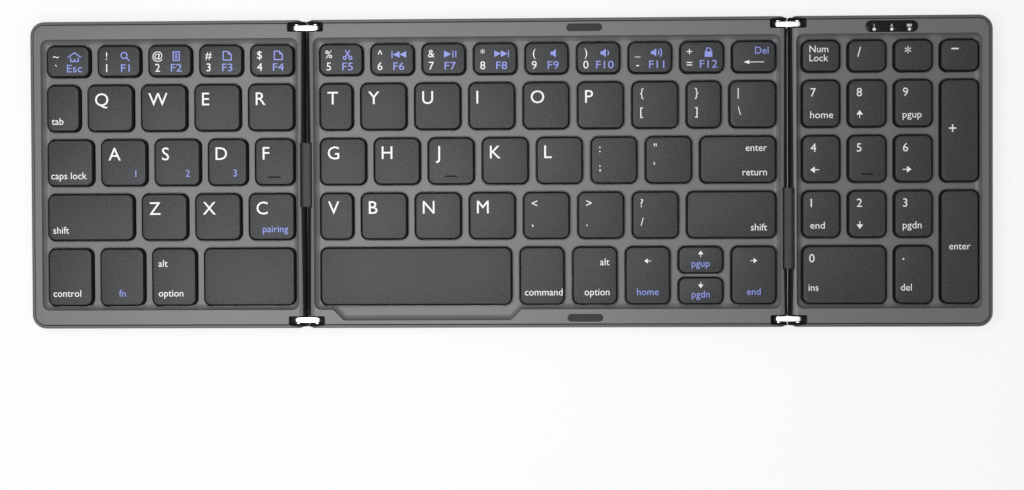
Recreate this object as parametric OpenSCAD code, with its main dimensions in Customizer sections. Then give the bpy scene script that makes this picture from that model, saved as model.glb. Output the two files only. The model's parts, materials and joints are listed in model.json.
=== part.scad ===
// Folding keyboard in three panels, shown open and flat.
// Both wings fold up and over the middle panel on links with two pivots each.
// X runs to the right, Y to the rear and Z up; the origin is under the centre.

/* [Panels] */
// Gap between the outer ends of the two wings when both are folded in
fold_gap = 0.6; // [0.4:0.1:2]
// Depth of every panel, front to rear
body_d = 98; // [94:0.5:106]
// Plan radius of the corners at the outer ends
corner_r = 4.5; // [3.5:0.1:6]
// Plan radius of the corners beside a fold
fold_corner_r = 2.4; // [1.8:0.1:2.8]

/* [Heights] */
// Thickness of a panel without its feet
body_h = 8; // [7.6:0.1:10]
// Height that the feet lift the panels
foot_h = 0.8; // [0.5:0.1:1.5]
// Thickness of the cover's floor
floor_t = 1; // [0.8:0.1:1.2]
// Thickness of the cover's walls
wall_t = 0.9; // [0.8:0.1:1.1]
// Radius along the cover's lower edges
belly_r = 1.6; // [1:0.1:1.8]
// Radius along the upper edges of covers and frames
brow_r = 0.3; // [0.1:0.1:0.4]
// Step from the frame's top down to the cover's edge
cover_step = 0.5; // [0.3:0.1:0.8]
// Gap between cover and frame all round
seam = 0.15; // [0.1:0.05:0.3]

/* [Key well] */
// Depth of the well that the keys stand in
well_depth = 2.2; // [1.8:0.1:2.4]
// Thickness of the web between the keys
web_t = 1.2; // [1:0.1:1.4]
// Width of the rim at the rear
rim_rear = 5.7; // [5.6:0.1:6.2]
// Width of the rim at the front
rim_front = 5.8; // [5.6:0.1:6.2]
// Width of the rim at the outer ends
rim_side = 3.4; // [3:0.1:3.8]
// Width of the lip between a well and a fold
lip_w = 2.4; // [2.2:0.1:2.8]
// Width of the rim in front of the thumb scoop
scoop_rim = 2.4; // [2:0.1:3]
// How far the scoop starts inside the space bar's left end
scoop_in = 4; // [2:0.1:5]
// How far the scoop runs on past the space bar's right end
scoop_out = 3; // [2:0.1:4]

/* [Keys] */
// Width of a letter key
key_w = 14.9; // [14:0.1:15]
// Front to rear size of a letter key
key_d = 15.1; // [14:0.1:15.4]
// Front to rear size of the keys in the rear row
number_key_d = 10.2; // [10:0.1:11]
// Width of the narrow keys beside the left fold
half_key_w = 10.7; // [10.5:0.1:12]
// Width of the right bracket key
bracket_key_w = 11.2; // [10.5:0.1:12.5]
// Width of the command keys in the front row
command_key_w = 14.4; // [13.6:0.1:15]
// Space between two keys
key_gap = 2.3; // [2.2:0.1:2.8]
// Space between the two arrow keys that share one place
arrow_gap = 0.9; // [0.9:0.1:1.6]
// Gap between a key and the edge of its opening
key_clear = 0.3; // [0.25:0.05:0.4]
// Distance that a key travels
key_travel = 1.2; // [0.8:0.1:1.3]
// How far the keys stand below the rim
key_sink = 0.3; // [0.2:0.05:0.6]
// Room left under a key that is pressed down
key_room = 0.3; // [0.2:0.05:0.5]
// Plan radius of a key's corners
key_r = 2.4; // [1.8:0.1:2.8]
// Width of the bevel round a key's top
key_bevel = 0.45; // [0.2:0.05:0.6]
// Wall of a keycap
key_wall = 0.9; // [0.7:0.1:1]
// Thickness of a keycap's top
key_top_t = 1.2; // [1:0.1:1.3]
// Distance from the rear edge to the first row of keys
keys_rear = 7.6; // [7.4:0.1:8.4]
// Distance from the front edge to the last row of keys
keys_front = 7.1; // [6.9:0.1:8]
// Distance from the left wing's outer end to its keys
left_outer_margin = 5.2; // [4.4:0.1:6]
// Distance from the left wing's keys to the fold
left_fold_margin = 3.6; // [3.5:0.1:4.4]
// Distance from the left fold to the middle keys
middle_left_margin = 4.4; // [3.6:0.1:5]
// Distance from the middle keys to the right fold
middle_right_margin = 3.8; // [3.6:0.1:4.6]
// Distance from the right fold to the keypad
right_fold_margin = 4.1; // [3.6:0.1:5]
// Distance from the keypad to the right wing's outer end
right_outer_margin = 4.3; // [4.2:0.1:5.4]

/* [Key mechanism] */
// Thickness of the steel plate under the keys
plate_t = 0.4; // [0.3:0.1:0.5]
// Height of the plate's underside above the cover's floor
plate_rise = 1.6; // [1.5:0.1:1.8]
// Thickness of the switch membrane
membrane_t = 0.3; // [0.2:0.1:0.4]
// Base radius of a rubber dome
dome_r = 2.4; // [2:0.1:2.5]
// Width of a scissor pair
scissor_w = 8.2; // [8:0.1:8.4]
// Length of a scissor arm
scissor_l = 7.8; // [7:0.1:7.9]
// Width of a scissor arm's bars
scissor_bar = 0.7; // [0.6:0.05:0.75]
// Thickness of a scissor arm's bars
scissor_t = 0.5; // [0.4:0.05:0.6]
// Clearance round domes and scissors
play = 0.1; // [0.05:0.05:0.15]

/* [Folds] */
// Distance from the fold to each of its two pivots
pivot_out = 3.05; // [2.9:0.05:3.2]
// Gap between the facing rims when a wing lies over the middle
fold_clear = 0.4; // [0.4:0.1:0.8]
// Half of the gap between two panels at the fold
face_gap = 0.2; // [0.15:0.05:0.3]
// Radius of a link's ends
link_r = 1.5; // [1.3:0.05:1.6]
// Thickness of a link at its middle
link_t = 1.7; // [1.5:0.1:1.8]
// Thickness of a link at its ends
link_end_t = 1.2; // [1:0.1:1.3]
// Distance from the panel's edge to the link's middle plane
link_in = 2.5; // [2.3:0.05:2.6]
// Wall left outside a link's pocket
pocket_wall = 0.75; // [0.7:0.05:0.9]
// Size of a link's pocket from the panel's edge inwards, with its outer wall
pocket_in = 3.8; // [3.7:0.05:4]
// Length of a link's pocket to each side of the fold
pocket_l = 5.8; // [5.6:0.1:6.4]
// Gap under a link in its pocket
pocket_gap = 0.5; // [0.4:0.1:0.8]
// Radius of a hinge pin
pin_r = 0.6; // [0.5:0.05:0.65]
// Running clearance between pin and link
pin_clear = 0.05; // [0.02:0.01:0.08]
// Length of pin that the hinge block holds
pin_grip = 1.2; // [1:0.1:1.3]
// Radius of a pin's head
pin_head_r = 1; // [0.9:0.05:1.1]
// Thickness of a pin's head
pin_head_t = 0.35; // [0.25:0.05:0.45]
// Width of the sleeve over the cable between two panels
sleeve_w = 3.4; // [3:0.1:3.6]
// Height of the sleeve
sleeve_h = 2.7; // [2.2:0.1:3]
// Clearance round the sleeve
sleeve_clear = 0.25; // [0.2:0.05:0.4]
// Length of the left sleeve
left_sleeve_l = 20.1; // [16:0.1:24]
// Distance from the rear edge to the left sleeve
left_sleeve_rear = 39.2; // [34:0.1:44]
// Length of the right sleeve
right_sleeve_l = 25.3; // [20:0.1:28]
// Distance from the rear edge to the right sleeve
right_sleeve_rear = 54.2; // [48:0.1:58]

/* [Rear edge and rim] */
// Length of a rest pad
pad_l = 11.3; // [9:0.1:13]
// Width of a rest pad
pad_w = 2.4; // [2:0.1:2.6]
// Height that a rest pad stands above the rim
pad_proud = 0.25; // [0.15:0.05:0.3]
// Depth of a rest pad's recess
pad_sink = 0.5; // [0.4:0.1:0.6]
// Distance from the rear edge to a rest pad's middle
pad_in = 3.1; // [3:0.05:3.4]
// Length of the indicator window
window_l = 16.5; // [15.6:0.1:17.5]
// Width of the indicator window
window_w = 3.7; // [3.4:0.1:3.8]
// Thickness of the indicator window
window_t = 0.9; // [0.7:0.1:1]
// Distance from the rear edge to the window's middle
window_in = 3.5; // [3.4:0.05:3.6]
// Distance from the right wing's outer end to the window's middle
window_from_end = 31.6; // [30.5:0.1:32.5]
// Radius of an indicator lens
led_r = 0.5; // [0.4:0.05:0.6]
// Distance from one indicator to the next
led_pitch = 5.5; // [5:0.1:6]
// Distance from the window's middle line forward to the indicators
led_forward = 0.95; // [0.7:0.05:1]
// Width of the power switch's nub
nub_w = 3.5; // [3:0.1:4]
// Height of the power switch's nub
nub_h = 1.4; // [1.2:0.1:1.6]
// How far the nub stands out of the rear edge
nub_out = 0.3; // [0.2:0.05:0.6]
// Travel of the power switch
switch_travel = 2; // [1.5:0.1:2.2]
// Distance from the right wing's outer end to the nub's middle
nub_from_end = 19.9; // [19:0.1:21]
// Distance from the right fold to the charging port's middle
port_from_fold = 18; // [17.6:0.1:18.6]
// Width of the charging port's shell
port_w = 8.94; // [8.9:0.02:9.1]
// Height of the charging port's shell
port_h = 3.2; // [3.1:0.02:3.26]
// Depth of the charging port's shell
port_d = 4.4; // [4:0.1:4.6]
// Wall of the charging port's shell
port_wall = 0.3; // [0.25:0.05:0.35]

/* [Underside and inside] */
// Width of the foot strips
foot_w = 4; // [3:0.1:5]
// Depth of the groove that a foot strip sits in
foot_sink = 0.3; // [0.2:0.1:0.4]
// Distance from the panel's edge to a foot strip's middle line
foot_in = 9; // [8.5:0.1:11]
// Distance from a panel's ends to the ends of its foot strips
foot_end = 14; // [12:0.5:20]
// Radius of a screw's shank
screw_r = 0.7; // [0.6:0.05:0.8]
// Radius of a screw's head
screw_head_r = 1.4; // [1.2:0.1:1.5]
// Height of a screw's head
screw_head_h = 0.7; // [0.6:0.05:0.75]
// Distance from the panel's edge to the screws
screw_in = 3.3; // [3.2:0.05:3.4]
// Distance from a fold to the nearest screws
screw_from_fold = 11; // [10.6:0.1:11.4]
// Distance from an outer end to the nearest screws
screw_from_end = 8; // [7:0.1:9]
// Length of the battery
battery_l = 62; // [50:1:80]
// Width of the battery
battery_w = 38; // [30:1:45]
// Depth of the circuit board
board_d = 22; // [18:0.5:30]
// Thickness of the circuit board
board_t = 0.8; // [0.6:0.1:0.9]

/* [Hidden] */
$fn = 48;
e = 0.01;
far = 20;

// A panel is as wide as its second row of keys with the margins beside it
left_w = left_outer_margin + half_key_w + 4 * (key_w + key_gap) + left_fold_margin;
middle_w = middle_left_margin + half_key_w + 7 * (key_w + key_gap) + key_gap + bracket_key_w
    + middle_right_margin;
// Overall width when open: the two wings together are the middle less fold_gap
total_w = 2 * middle_w - fold_gap;
right_w = middle_w - left_w - fold_gap;
x_left = -total_w / 2;
x_right = total_w / 2;
x_fold_l = x_left + left_w;
x_fold_r = x_fold_l + middle_w;
x_seam = x_fold_l + left_w + fold_gap / 2;
y_front = -(body_d + nub_out) / 2;
y_rear = y_front + body_d;

z_top = foot_h + body_h;
z_cover = z_top - cover_step;
z_floor = foot_h + floor_t;
z_plate = z_floor + plate_rise;
z_plate_top = z_plate + plate_t;
z_membrane_top = z_plate_top + membrane_t;
z_web = z_top - well_depth;
z_web_under = z_web - web_t;
z_key_top = z_top - key_sink;
z_key = z_membrane_top + key_travel + key_room;
z_key_ceiling = z_key_top - key_top_t;
z_pivot = z_top + fold_clear / 2 - pivot_out;
z_rim_under = z_top - web_t;
fold_r = pivot_out - face_gap;
frame_inset = wall_t + seam;

// Walls, posts and clearances that the hidden side needs
skirt_t = 1;
rib_t = 1;
post_r = 1.9;
boss_r = 1.5;
block_wall = 1.4;
block_cover = 0.3;
slip = 0.2;
slot_gap = 0.15;
switch_wall = 0.4;
over = 1;

// A panel is [left x, right x, folds on its left, folds on its right]
LEFT = [x_left, x_fold_l, false, true];
MIDDLE = [x_fold_l, x_fold_r, true, true];
RIGHT = [x_fold_r, x_right, true, false];

// Where a panel's keys start and how wide the block of keys is
function keys_x(p) = p == LEFT ? x_left + left_outer_margin
    : p == MIDDLE ? x_fold_l + middle_left_margin
    : x_fold_r + right_fold_margin;
function keys_w(p) = p == LEFT ? left_w - left_outer_margin - left_fold_margin
    : p == MIDDLE ? middle_w - middle_left_margin - middle_right_margin
    : right_w - right_fold_margin - right_outer_margin;

// Rows from rear to front: each row's depth, and the y of its rear edge
front_key_d = body_d - keys_rear - keys_front - number_key_d - 3 * key_d - 4 * key_gap;
row_ds = [number_key_d, key_d, key_d, key_d, front_key_d];
function sum(v, n) = n <= 0 ? 0 : v[n - 1] + sum(v, n - 1);
function row_rear(r) = y_rear - keys_rear - sum(row_ds, r) - r * key_gap;
function row_front(r) = row_rear(r) - row_ds[r];

// Key widths from left to right; the zeros share what is left of the row, to 0.01 mm
k = key_w;
c = command_key_w;
left_rows = [[0, 0, 0, 0, 0], [0, k, k, k, k], [k, k, k, 0, 0], [0, k, k, k], [c, c, c, 0]];
middle_rows = [
    [0, 0, 0, 0, 0, 0, 0, 0, 0],
    [half_key_w, k, k, k, k, k, k, bracket_key_w, 0],
    [k, k, k, k, k, k, k, 0],
    [half_key_w, k, k, k, k, k, k, 0],
    [0, c, c, c, c, c]
];
right_rows = [[0, 0, 0, 0], [0, 0, 0, 0], [0, 0, 0, 0], [0, 0, 0, 0], [0, 0, 0, 0]];
arrow_at = 4;

function rows_of(p) = p == LEFT ? left_rows : p == MIDDLE ? middle_rows : right_rows;
function count_zeros(v) = len([for (w = v) if (w == 0) 1]);
function shared_w(p, v) =
    floor((keys_w(p) - (len(v) - 1) * key_gap - sum(v, len(v))) / count_zeros(v) * 100) / 100;
function widths(p, r) =
    [for (w = rows_of(p)[r]) w == 0 ? shared_w(p, rows_of(p)[r]) : w];
function key_x(p, r, i) = keys_x(p) + sum(widths(p, r), i) + i * key_gap;

// A key is [left x, front y, width, depth]
function key_at(p, r, i) = [key_x(p, r, i), row_front(r), widths(p, r)[i], row_ds[r]];
function keys_at(p, r, a, b) = [for (i = [a:b]) key_at(p, r, i)];
// One key over two rows, and one key over two places
function tall_key(p, r, i) =
    [key_x(p, r, i), row_front(r + 1), widths(p, r)[i], row_rear(r) - row_front(r + 1)];
function wide_key(p, r, i) =
    [key_x(p, r, i), row_front(r), 2 * widths(p, r)[i] + key_gap, row_ds[r]];
// The up and down arrows, one behind the other
arrow_d = (front_key_d - arrow_gap) / 2;
function arrows(p, r, i) = [
    [key_x(p, r, i), row_front(r), widths(p, r)[i], arrow_d],
    [key_x(p, r, i), row_front(r) + arrow_d + arrow_gap, widths(p, r)[i], arrow_d]
];

left_number = keys_at(LEFT, 0, 0, 4);
left_upper = keys_at(LEFT, 1, 0, 4);
left_home = keys_at(LEFT, 2, 0, 4);
left_lower = keys_at(LEFT, 3, 0, 3);
left_front = keys_at(LEFT, 4, 0, 2);
left_space = [key_at(LEFT, 4, 3)];
middle_number = keys_at(MIDDLE, 0, 0, 8);
middle_upper = keys_at(MIDDLE, 1, 0, 8);
middle_home = keys_at(MIDDLE, 2, 0, 6);
return_keys = [key_at(MIDDLE, 2, 7)];
middle_lower = keys_at(MIDDLE, 3, 0, 7);
space_keys = [key_at(MIDDLE, 4, 0)];
middle_front = concat(
    keys_at(MIDDLE, 4, 1, arrow_at - 1), arrows(MIDDLE, 4, arrow_at), [key_at(MIDDLE, 4, 5)]);
keypad_rear = keys_at(RIGHT, 0, 0, 3);
keypad_upper = keys_at(RIGHT, 1, 0, 2);
keypad_middle = keys_at(RIGHT, 2, 0, 2);
keypad_lower = keys_at(RIGHT, 3, 0, 2);
keypad_zero = [wide_key(RIGHT, 4, 0), key_at(RIGHT, 4, 2)];
keypad_plus = [tall_key(RIGHT, 1, 3)];
keypad_enter = [tall_key(RIGHT, 3, 3)];

left_keys = concat(left_number, left_upper, left_home, left_lower, left_front, left_space);
middle_keys = concat(
    middle_number, middle_upper, middle_home, return_keys, middle_lower, space_keys, middle_front);
right_keys = concat(
    keypad_rear, keypad_upper, keypad_middle, keypad_lower, keypad_zero, keypad_plus, keypad_enter);
function keys_of(p) = p == LEFT ? left_keys : p == MIDDLE ? middle_keys : right_keys;

// Outline of the window, the switch and the port on the right wing
window_x = x_right - window_from_end;
nub_x = x_right - nub_from_end;
port_x = x_fold_r + port_from_fold;
z_port = z_floor + slip;
z_board = z_port + 2 * slip;
z_nub = z_board + board_t + 2 * slot_gap + nub_h / 2;
z_switch_top = z_nub + nub_h / 2 + slot_gap + switch_wall;
board_x = port_x - port_w / 2 - slip;
board_end = nub_x + nub_w / 2 + 2 * switch_travel;
board_y = y_rear - wall_t - slip - board_d;

// Screw positions of a panel
function near_x(p) = p[2] ? p[0] + screw_from_fold : p[0] + screw_from_end;
function far_x(p) = p[3] ? p[1] - screw_from_fold : p[1] - screw_from_end;
function screw_xs(p) = p == MIDDLE
    ? [near_x(p), (near_x(p) + far_x(p)) / 2, far_x(p)] : [near_x(p), far_x(p)];
screw_ys = [y_front + screw_in, y_rear - screw_in];
screw_top = z_web - 3 * slip;

// Ends and corner radii of a panel moved in by i, and by f beside its folds
function end_0(p, i, f) = p[2] ? p[0] + face_gap + f : p[0] + i;
function end_1(p, i, f) = p[3] ? p[1] - face_gap - f : p[1] - i;
function radius_0(p, i, f) = p[2] ? fold_corner_r - f : corner_r - i;
function radius_1(p, i, f) = p[3] ? fold_corner_r - f : corner_r - i;

// Cross-section at an outer edge: w wide, from z0 to z1, rounded at w
module edge_section(w, z0, z1, rb, rt) {
    difference() {
        translate([0, z0]) square([w, z1 - z0]);
        if (rb > 0) translate([w - rb, z0 + rb]) difference() {
            translate([0, -far]) square([far, far]);
            circle(rb);
        }
        translate([w - rt, z1 - rt]) difference() {
            square([far, far]);
            circle(rt);
        }
    }
}

// Panel moved in by i at its outer edges, rounded rb below and rt above
module slab(p, i, z0, z1, rb, rt) {
    x0 = end_0(p, i, 0) + radius_0(p, i, 0);
    x1 = end_1(p, i, 0) - radius_1(p, i, 0);
    half = (y_rear - y_front) / 2 - i;
    middle = (y_rear + y_front) / 2;
    for (s = [0, 1]) {
        r = s == 0 ? radius_0(p, i, 0) : radius_1(p, i, 0);
        for (y = [r - half, half - r])
            translate([s == 0 ? x0 : x1, middle + y, 0]) rotate_extrude()
                edge_section(r, z0, z1, rb, rt);
        translate([s == 0 ? x0 : x1, middle + half - r, 0]) rotate([90, 0, 0])
            linear_extrude(2 * half - 2 * r)
                mirror([1 - s, 0, 0]) edge_section(r, z0, z1, rb, rt);
    }
    // The run between the two ends, rounded at front and rear
    translate([x0, middle, 0]) rotate([90, 0, 90]) linear_extrude(x1 - x0)
        for (s = [0, 1]) mirror([s, 0]) edge_section(half, z0, z1, rb, rt);
}

// Plan of a panel moved in by i, with its rounded corners
module panel_plan(p, i) {
    x0 = end_0(p, i, i);
    x1 = end_1(p, i, i);
    y0 = y_front + i;
    y1 = y_rear - i;
    for (s = [0, 1]) {
        r = s == 0 ? radius_0(p, i, i) : radius_1(p, i, i);
        translate([s == 0 ? x0 : x1 - r, y0 + r]) square([r, y1 - y0 - 2 * r]);
        for (y = [y0 + r, y1 - r]) translate([s == 0 ? x0 + r : x1 - r, y]) circle(r);
    }
    r0 = radius_0(p, i, i);
    translate([x0 + r0, y0]) square([x1 - x0 - r0 - radius_1(p, i, i), y1 - y0]);
}

// Upright prism over a rectangle with rounded corners
module rounded_prism(x0, y0, w, d, r, z0, z1) {
    translate([0, 0, z0]) linear_extrude(z1 - z0) {
        translate([x0 + r, y0]) square([w - 2 * r, d]);
        translate([x0, y0 + r]) square([w, d - 2 * r]);
        for (x = [x0 + r, x0 + w - r], y = [y0 + r, y0 + d - r])
            translate([x, y]) circle(r);
    }
}

// Strip with round ends along X, centred at x, y
module pill(x, y, l, w, z0, z1) {
    translate([0, 0, z0]) linear_extrude(z1 - z0) {
        translate([x - (l - w) / 2, y - w / 2]) square([l - w, w]);
        for (s = [-1, 1]) translate([x + s * (l - w) / 2, y]) circle(w / 2);
    }
}

// Applies its children to the right side of each fold of a panel, at the fold
module at_folds(p) {
    if (p[2]) translate([p[0], 0, 0]) children();
    if (p[3]) translate([p[1], 0, 0]) mirror([1, 0, 0]) children();
}

// What a panel loses above its pivots so that it can roll round the fold
module fold_relief(p) {
    at_folds(p) translate([pivot_out, y_rear + over, z_pivot]) rotate([90, 0, 0])
        linear_extrude(body_d + 2 * over) difference() {
            translate([-far, 0]) square([far, far]);
            circle(fold_r, $fn = 96);
        }
}

// Pocket for the link at each end of a fold, open to the top
pocket_r = 0.6;
module link_pockets(p) {
    at_folds(p) for (y = [y_front + pocket_wall, y_rear - pocket_in])
        rounded_prism(-pocket_l, y, 2 * pocket_l, pocket_in - pocket_wall, pocket_r,
            z_pivot - link_r - pocket_gap, z_top + over);
}

// Notch for the sleeve at a fold, on both panels
z_sleeve = z_pivot + link_r - sleeve_h + sleeve_clear;
module sleeve_notch(x, from_rear, l) {
    w = sleeve_w + 2 * sleeve_clear;
    translate([x - w / 2, y_rear - from_rear - l - sleeve_clear, z_sleeve - sleeve_clear])
        cube([w, l + 2 * sleeve_clear, far]);
}
module sleeve_notches(p) {
    if (p[1] == x_fold_l || p[0] == x_fold_l)
        sleeve_notch(x_fold_l, left_sleeve_rear, left_sleeve_l);
    if (p[1] == x_fold_r || p[0] == x_fold_r)
        sleeve_notch(x_fold_r, right_sleeve_rear, right_sleeve_l);
}

// Block that holds a pin beside each pocket
block_l = pocket_l + block_wall;
block_in = pocket_in + pin_grip + block_cover;
module hinge_blocks(p, grow) {
    at_folds(p) for (y = [y_front + wall_t / 2, y_rear - block_in - grow])
        translate([face_gap, y, z_floor - e])
            cube([block_l - face_gap + grow, block_in - wall_t / 2 + grow,
                z_rim_under - z_floor - play + grow + e]);
}
module pin_bores(p) {
    at_folds(p) for (y = [y_front + pocket_in - e, y_rear - pocket_in - pin_grip])
        translate([pivot_out, y, z_pivot]) rotate([-90, 0, 0]) cylinder(h = pin_grip + e, r = pin_r);
}

// Bottom cover: a tray with rounded lower edges
module bottom_cover(p) {
    difference() {
        union() {
            difference() {
                slab(p, 0, foot_h, z_cover, belly_r, brow_r);
                translate([0, 0, z_floor]) linear_extrude(body_h) panel_plan(p, wall_t);
                // The walls beside the folds stop under the frame
                at_folds(p) translate([-over, y_front + wall_t, z_web_under - play])
                    cube([block_l + over, body_d - 2 * wall_t, far]);
            }
            hinge_blocks(p, 0);
            cover_posts(p);
            plate_ribs(p);
        }
        fold_relief(p);
        link_pockets(p);
        sleeve_notches(p);
        pin_bores(p);
        screw_holes(p);
        foot_strips(p, 0, foot_h + foot_sink);
    }
}

// Posts that the screws pass through, up to the key plate
module cover_posts(p) {
    for (x = screw_xs(p), y = screw_ys)
        translate([x, y, z_floor - e]) cylinder(h = plate_rise + e, r = post_r);
}
// Ribs that carry the key plate; those of the right wing leave room for the board
module plate_ribs(p) {
    l = foot_end / 2;
    for (y = [row_front(4), p == RIGHT ? board_y - slip : row_rear(1)])
        for (x = [near_x(p) + l, far_x(p) - 2 * l])
            translate([x, y - rib_t, z_floor - e]) cube([l, rib_t, plate_rise + e]);
}
module screw_holes(p) {
    for (x = screw_xs(p), y = screw_ys) translate([x, y, 0]) {
        cylinder(h = far, r = screw_r + play);
        translate([0, 0, foot_h]) screw_head(play);
    }
}

// Rounded pocket with a curved edge. The curve's radius is a little more than the depth,
// so that it meets the floor at a slight angle.
well_r = well_depth + 0.05;
module well(x0, x1, y0, y1) {
    f = well_r;
    for (x = [x0 + f, x1 - f]) {
        for (y = [y0 + f, y1 - f]) translate([x, y, z_top]) sphere(f);
        translate([x, y0 + f, z_top]) rotate([-90, 0, 0]) cylinder(h = y1 - y0 - 2 * f, r = f);
    }
    for (y = [y0 + f, y1 - f])
        translate([x0 + f, y, z_top]) rotate([0, 90, 0]) cylinder(h = x1 - x0 - 2 * f, r = f);
    translate([x0 + f, y0 + f, z_top - f]) cube([x1 - x0 - 2 * f, y1 - y0 - 2 * f, 2 * f]);
}

// Thumb scoop in front of the space bar, with flanks at 45 degrees. The balls in its
// corners are a little larger than the curve that they join.
ball_extra = 0.03;
module scoop() {
    f = well_r;
    r = rim_front - scoop_rim;
    bar = space_keys[0];
    from = bar[0] + scoop_in;
    to = bar[0] + bar[2] + scoop_out;
    y = y_front + rim_front;
    // Where the flank's axis leaves the well's, and where it meets the scoop's
    a = f * tan(22.5);
    b = a + r;
    for (s = [0, 1]) translate([s == 0 ? from : to, y, z_top]) mirror([s, 0, 0])
        translate([b, f - r, 0]) {
            rotate([0, 0, 135]) rotate([0, 90, 0]) cylinder(h = r * sqrt(2) + f, r = f);
            sphere(f + ball_extra);
        }
    translate([from + b, y + f - r, z_top]) rotate([0, 90, 0])
        cylinder(h = to - from - 2 * b, r = f);
    translate([0, 0, z_top - f]) linear_extrude(2 * f)
        polygon([[from + a, y + f], [from + b, y + f - r], [to - b, y + f - r], [to - a, y + f]]);
}

module well_of(p) {
    intersection() {
        union() {
            well(p[0] + (p[2] ? lip_w : rim_side), p[1] - (p[3] ? lip_w : rim_side),
                y_front + rim_front, y_rear - rim_rear);
            if (p == MIDDLE) scoop();
        }
        translate([p[0], y_front, z_web]) cube([p[1] - p[0], body_d, far]);
    }
}

// Openings for the keys; arrow keys that share a place share an opening
module openings(p) {
    for (q = keys_of(p))
        rounded_prism(q[0] - key_clear, q[1] - key_clear, q[2] + 2 * key_clear,
            q[3] + 2 * key_clear, key_r + key_clear, z_web_under - over, z_top + over);
    if (p == MIDDLE) {
        q = arrows(MIDDLE, 4, arrow_at)[0];
        translate([q[0] - key_clear + key_r, q[1] + q[3] / 2, z_web_under - over])
            cube([q[2] + 2 * key_clear - 2 * key_r, arrow_d + arrow_gap, far]);
    }
}

// Hollows under the front and rear rims, with walls left round them
module rim_hollows(p) {
    in = frame_inset + skirt_t;
    x0 = p[0] + (p[2] ? block_l + rib_t : corner_r);
    x1 = p[1] - (p[3] ? block_l + rib_t : corner_r);
    translate([x0, y_rear - rim_rear + rib_t, 0])
        cube([x1 - x0, rim_rear - rib_t - in, z_rim_under]);
    // The scoop leaves no room for the hollow in front of the space bar
    from = p == MIDDLE ? space_keys[0][0] + space_keys[0][2] + scoop_out + rib_t : x0;
    translate([from, y_front + in, 0]) cube([x1 - from, rim_front - rib_t - in, z_rim_under]);
}

// Top frame: the rim, the well and the web with an opening for each key
module top_frame(p) {
    difference() {
        union() {
            difference() {
                slab(p, frame_inset, z_plate_top, z_top, 0, brow_r);
                frame_underside(p);
                rim_hollows(p);
            }
            frame_bosses(p);
        }
        hinge_blocks(p, play);
        fold_relief(p);
        link_pockets(p);
        sleeve_notches(p);
        well_of(p);
        openings(p);
        for (x = screw_xs(p), y = screw_ys)
            translate([x, y, 0]) cylinder(h = screw_top + slip, r = screw_r);
        if (p == MIDDLE) pad_shapes(z_top - pad_sink, z_top + over, 0);
        if (p == RIGHT) {
            window_shape(z_top - window_t, z_top + over, 0);
            led_shapes(0, z_top, led_r + play);
            board_room(z_switch_top + play);
        }
    }
}
// The space under the web, open at the folds where there is no skirt
module frame_underside(p) {
    in = frame_inset + skirt_t;
    x0 = p[2] ? p[0] - over : p[0] + in;
    x1 = p[3] ? p[1] + over : p[1] - in;
    translate([x0, y_front + in, 0]) cube([x1 - x0, body_d - 2 * in, z_web_under]);
    at_folds(p) translate([-over, y_front - over, 0])
        cube([block_l + over, body_d + 2 * over, z_web_under]);
}
module frame_bosses(p) {
    for (x = screw_xs(p), y = screw_ys)
        translate([x, y, z_plate_top]) cylinder(h = z_rim_under - z_plate_top + e, r = boss_r);
}
// Room for the port, the switch and the lenses at the rear of the right wing
module board_room(z1) {
    translate([board_x - slip, y_rear - rim_rear, 0])
        cube([board_end - board_x + 2 * slip, far, z1]);
}

// Steel plate under the keys, resting on the cover's posts and ribs
module sheet(p, z0, z1, gap) {
    difference() {
        translate([0, 0, z0]) linear_extrude(z1 - z0) panel_plan(p, wall_t + gap);
        hinge_blocks(p, gap);
        for (x = screw_xs(p), y = screw_ys) translate([x, y, 0]) cylinder(h = far, r = screw_r + gap);
    }
}
module key_plate(p) {
    difference() {
        sheet(p, z_plate, z_plate_top, slip);
        if (p == RIGHT) board_room(far);
    }
}
// Membrane with the contacts, as large as the block of keys
module membrane(p) {
    y0 = row_front(4);
    translate([keys_x(p), y0, z_plate_top]) cube([keys_w(p), row_rear(0) - y0, membrane_t]);
}

// One dome under each key, with a thin skirt and a nib that the key rests on
nib_r = 0.8;
nib_h = 0.6;
skin_t = 0.4;
module domes(p) {
    h = z_key_ceiling - z_membrane_top - play;
    for (q = keys_of(p))
        translate([q[0] + q[2] / 2, q[1] + q[3] / 2, z_membrane_top])
            rotate_extrude($fn = 24)
                polygon([[0, 0], [dome_r, 0], [dome_r, skin_t], [dome_r - skin_t, skin_t],
                    [nib_r + skin_t, h - nib_h - skin_t], [nib_r, h - nib_h], [nib_r, h], [0, h]]);
}

// Two arms that cross beside the dome; the inner one fits between the outer one's bars.
// Long keys have three pairs, the middle one round the dome.
wide_from = 2.5 * key_w;
scissor_mid = (z_membrane_top + z_key_ceiling) / 2;
scissor_rise = z_key_ceiling - z_membrane_top - 2 * play;
function scissor_len(q) = min(scissor_l, q[3] - 2 * (key_wall + play));
function scissor_tilt(l) = asin((scissor_rise - scissor_t) / l);
function scissor_xs(q) = q[2] > wide_from
    ? [for (s = [-1, 0, 1]) q[0] + q[2] / 2 + s * q[2] / 3] : [q[0] + q[2] / 2];
module scissor_arm(w, l, tilt) {
    rotate([tilt, 0, 0]) difference() {
        translate([-w / 2, -l / 2, -scissor_t / 2]) cube([w, l, scissor_t]);
        translate([-w / 2 + scissor_bar, -l / 2 + scissor_bar, -scissor_t])
            cube([w - 2 * scissor_bar, l - 2 * scissor_bar, 2 * scissor_t]);
    }
}
module scissors(p) {
    for (q = keys_of(p), x = scissor_xs(q)) let (l = scissor_len(q), tilt = scissor_tilt(l))
        translate([x, q[1] + q[3] / 2, scissor_mid]) {
            scissor_arm(scissor_w, l, tilt);
            scissor_arm(scissor_w - 2 * scissor_bar - 2 * play, l, -tilt);
        }
}

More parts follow.
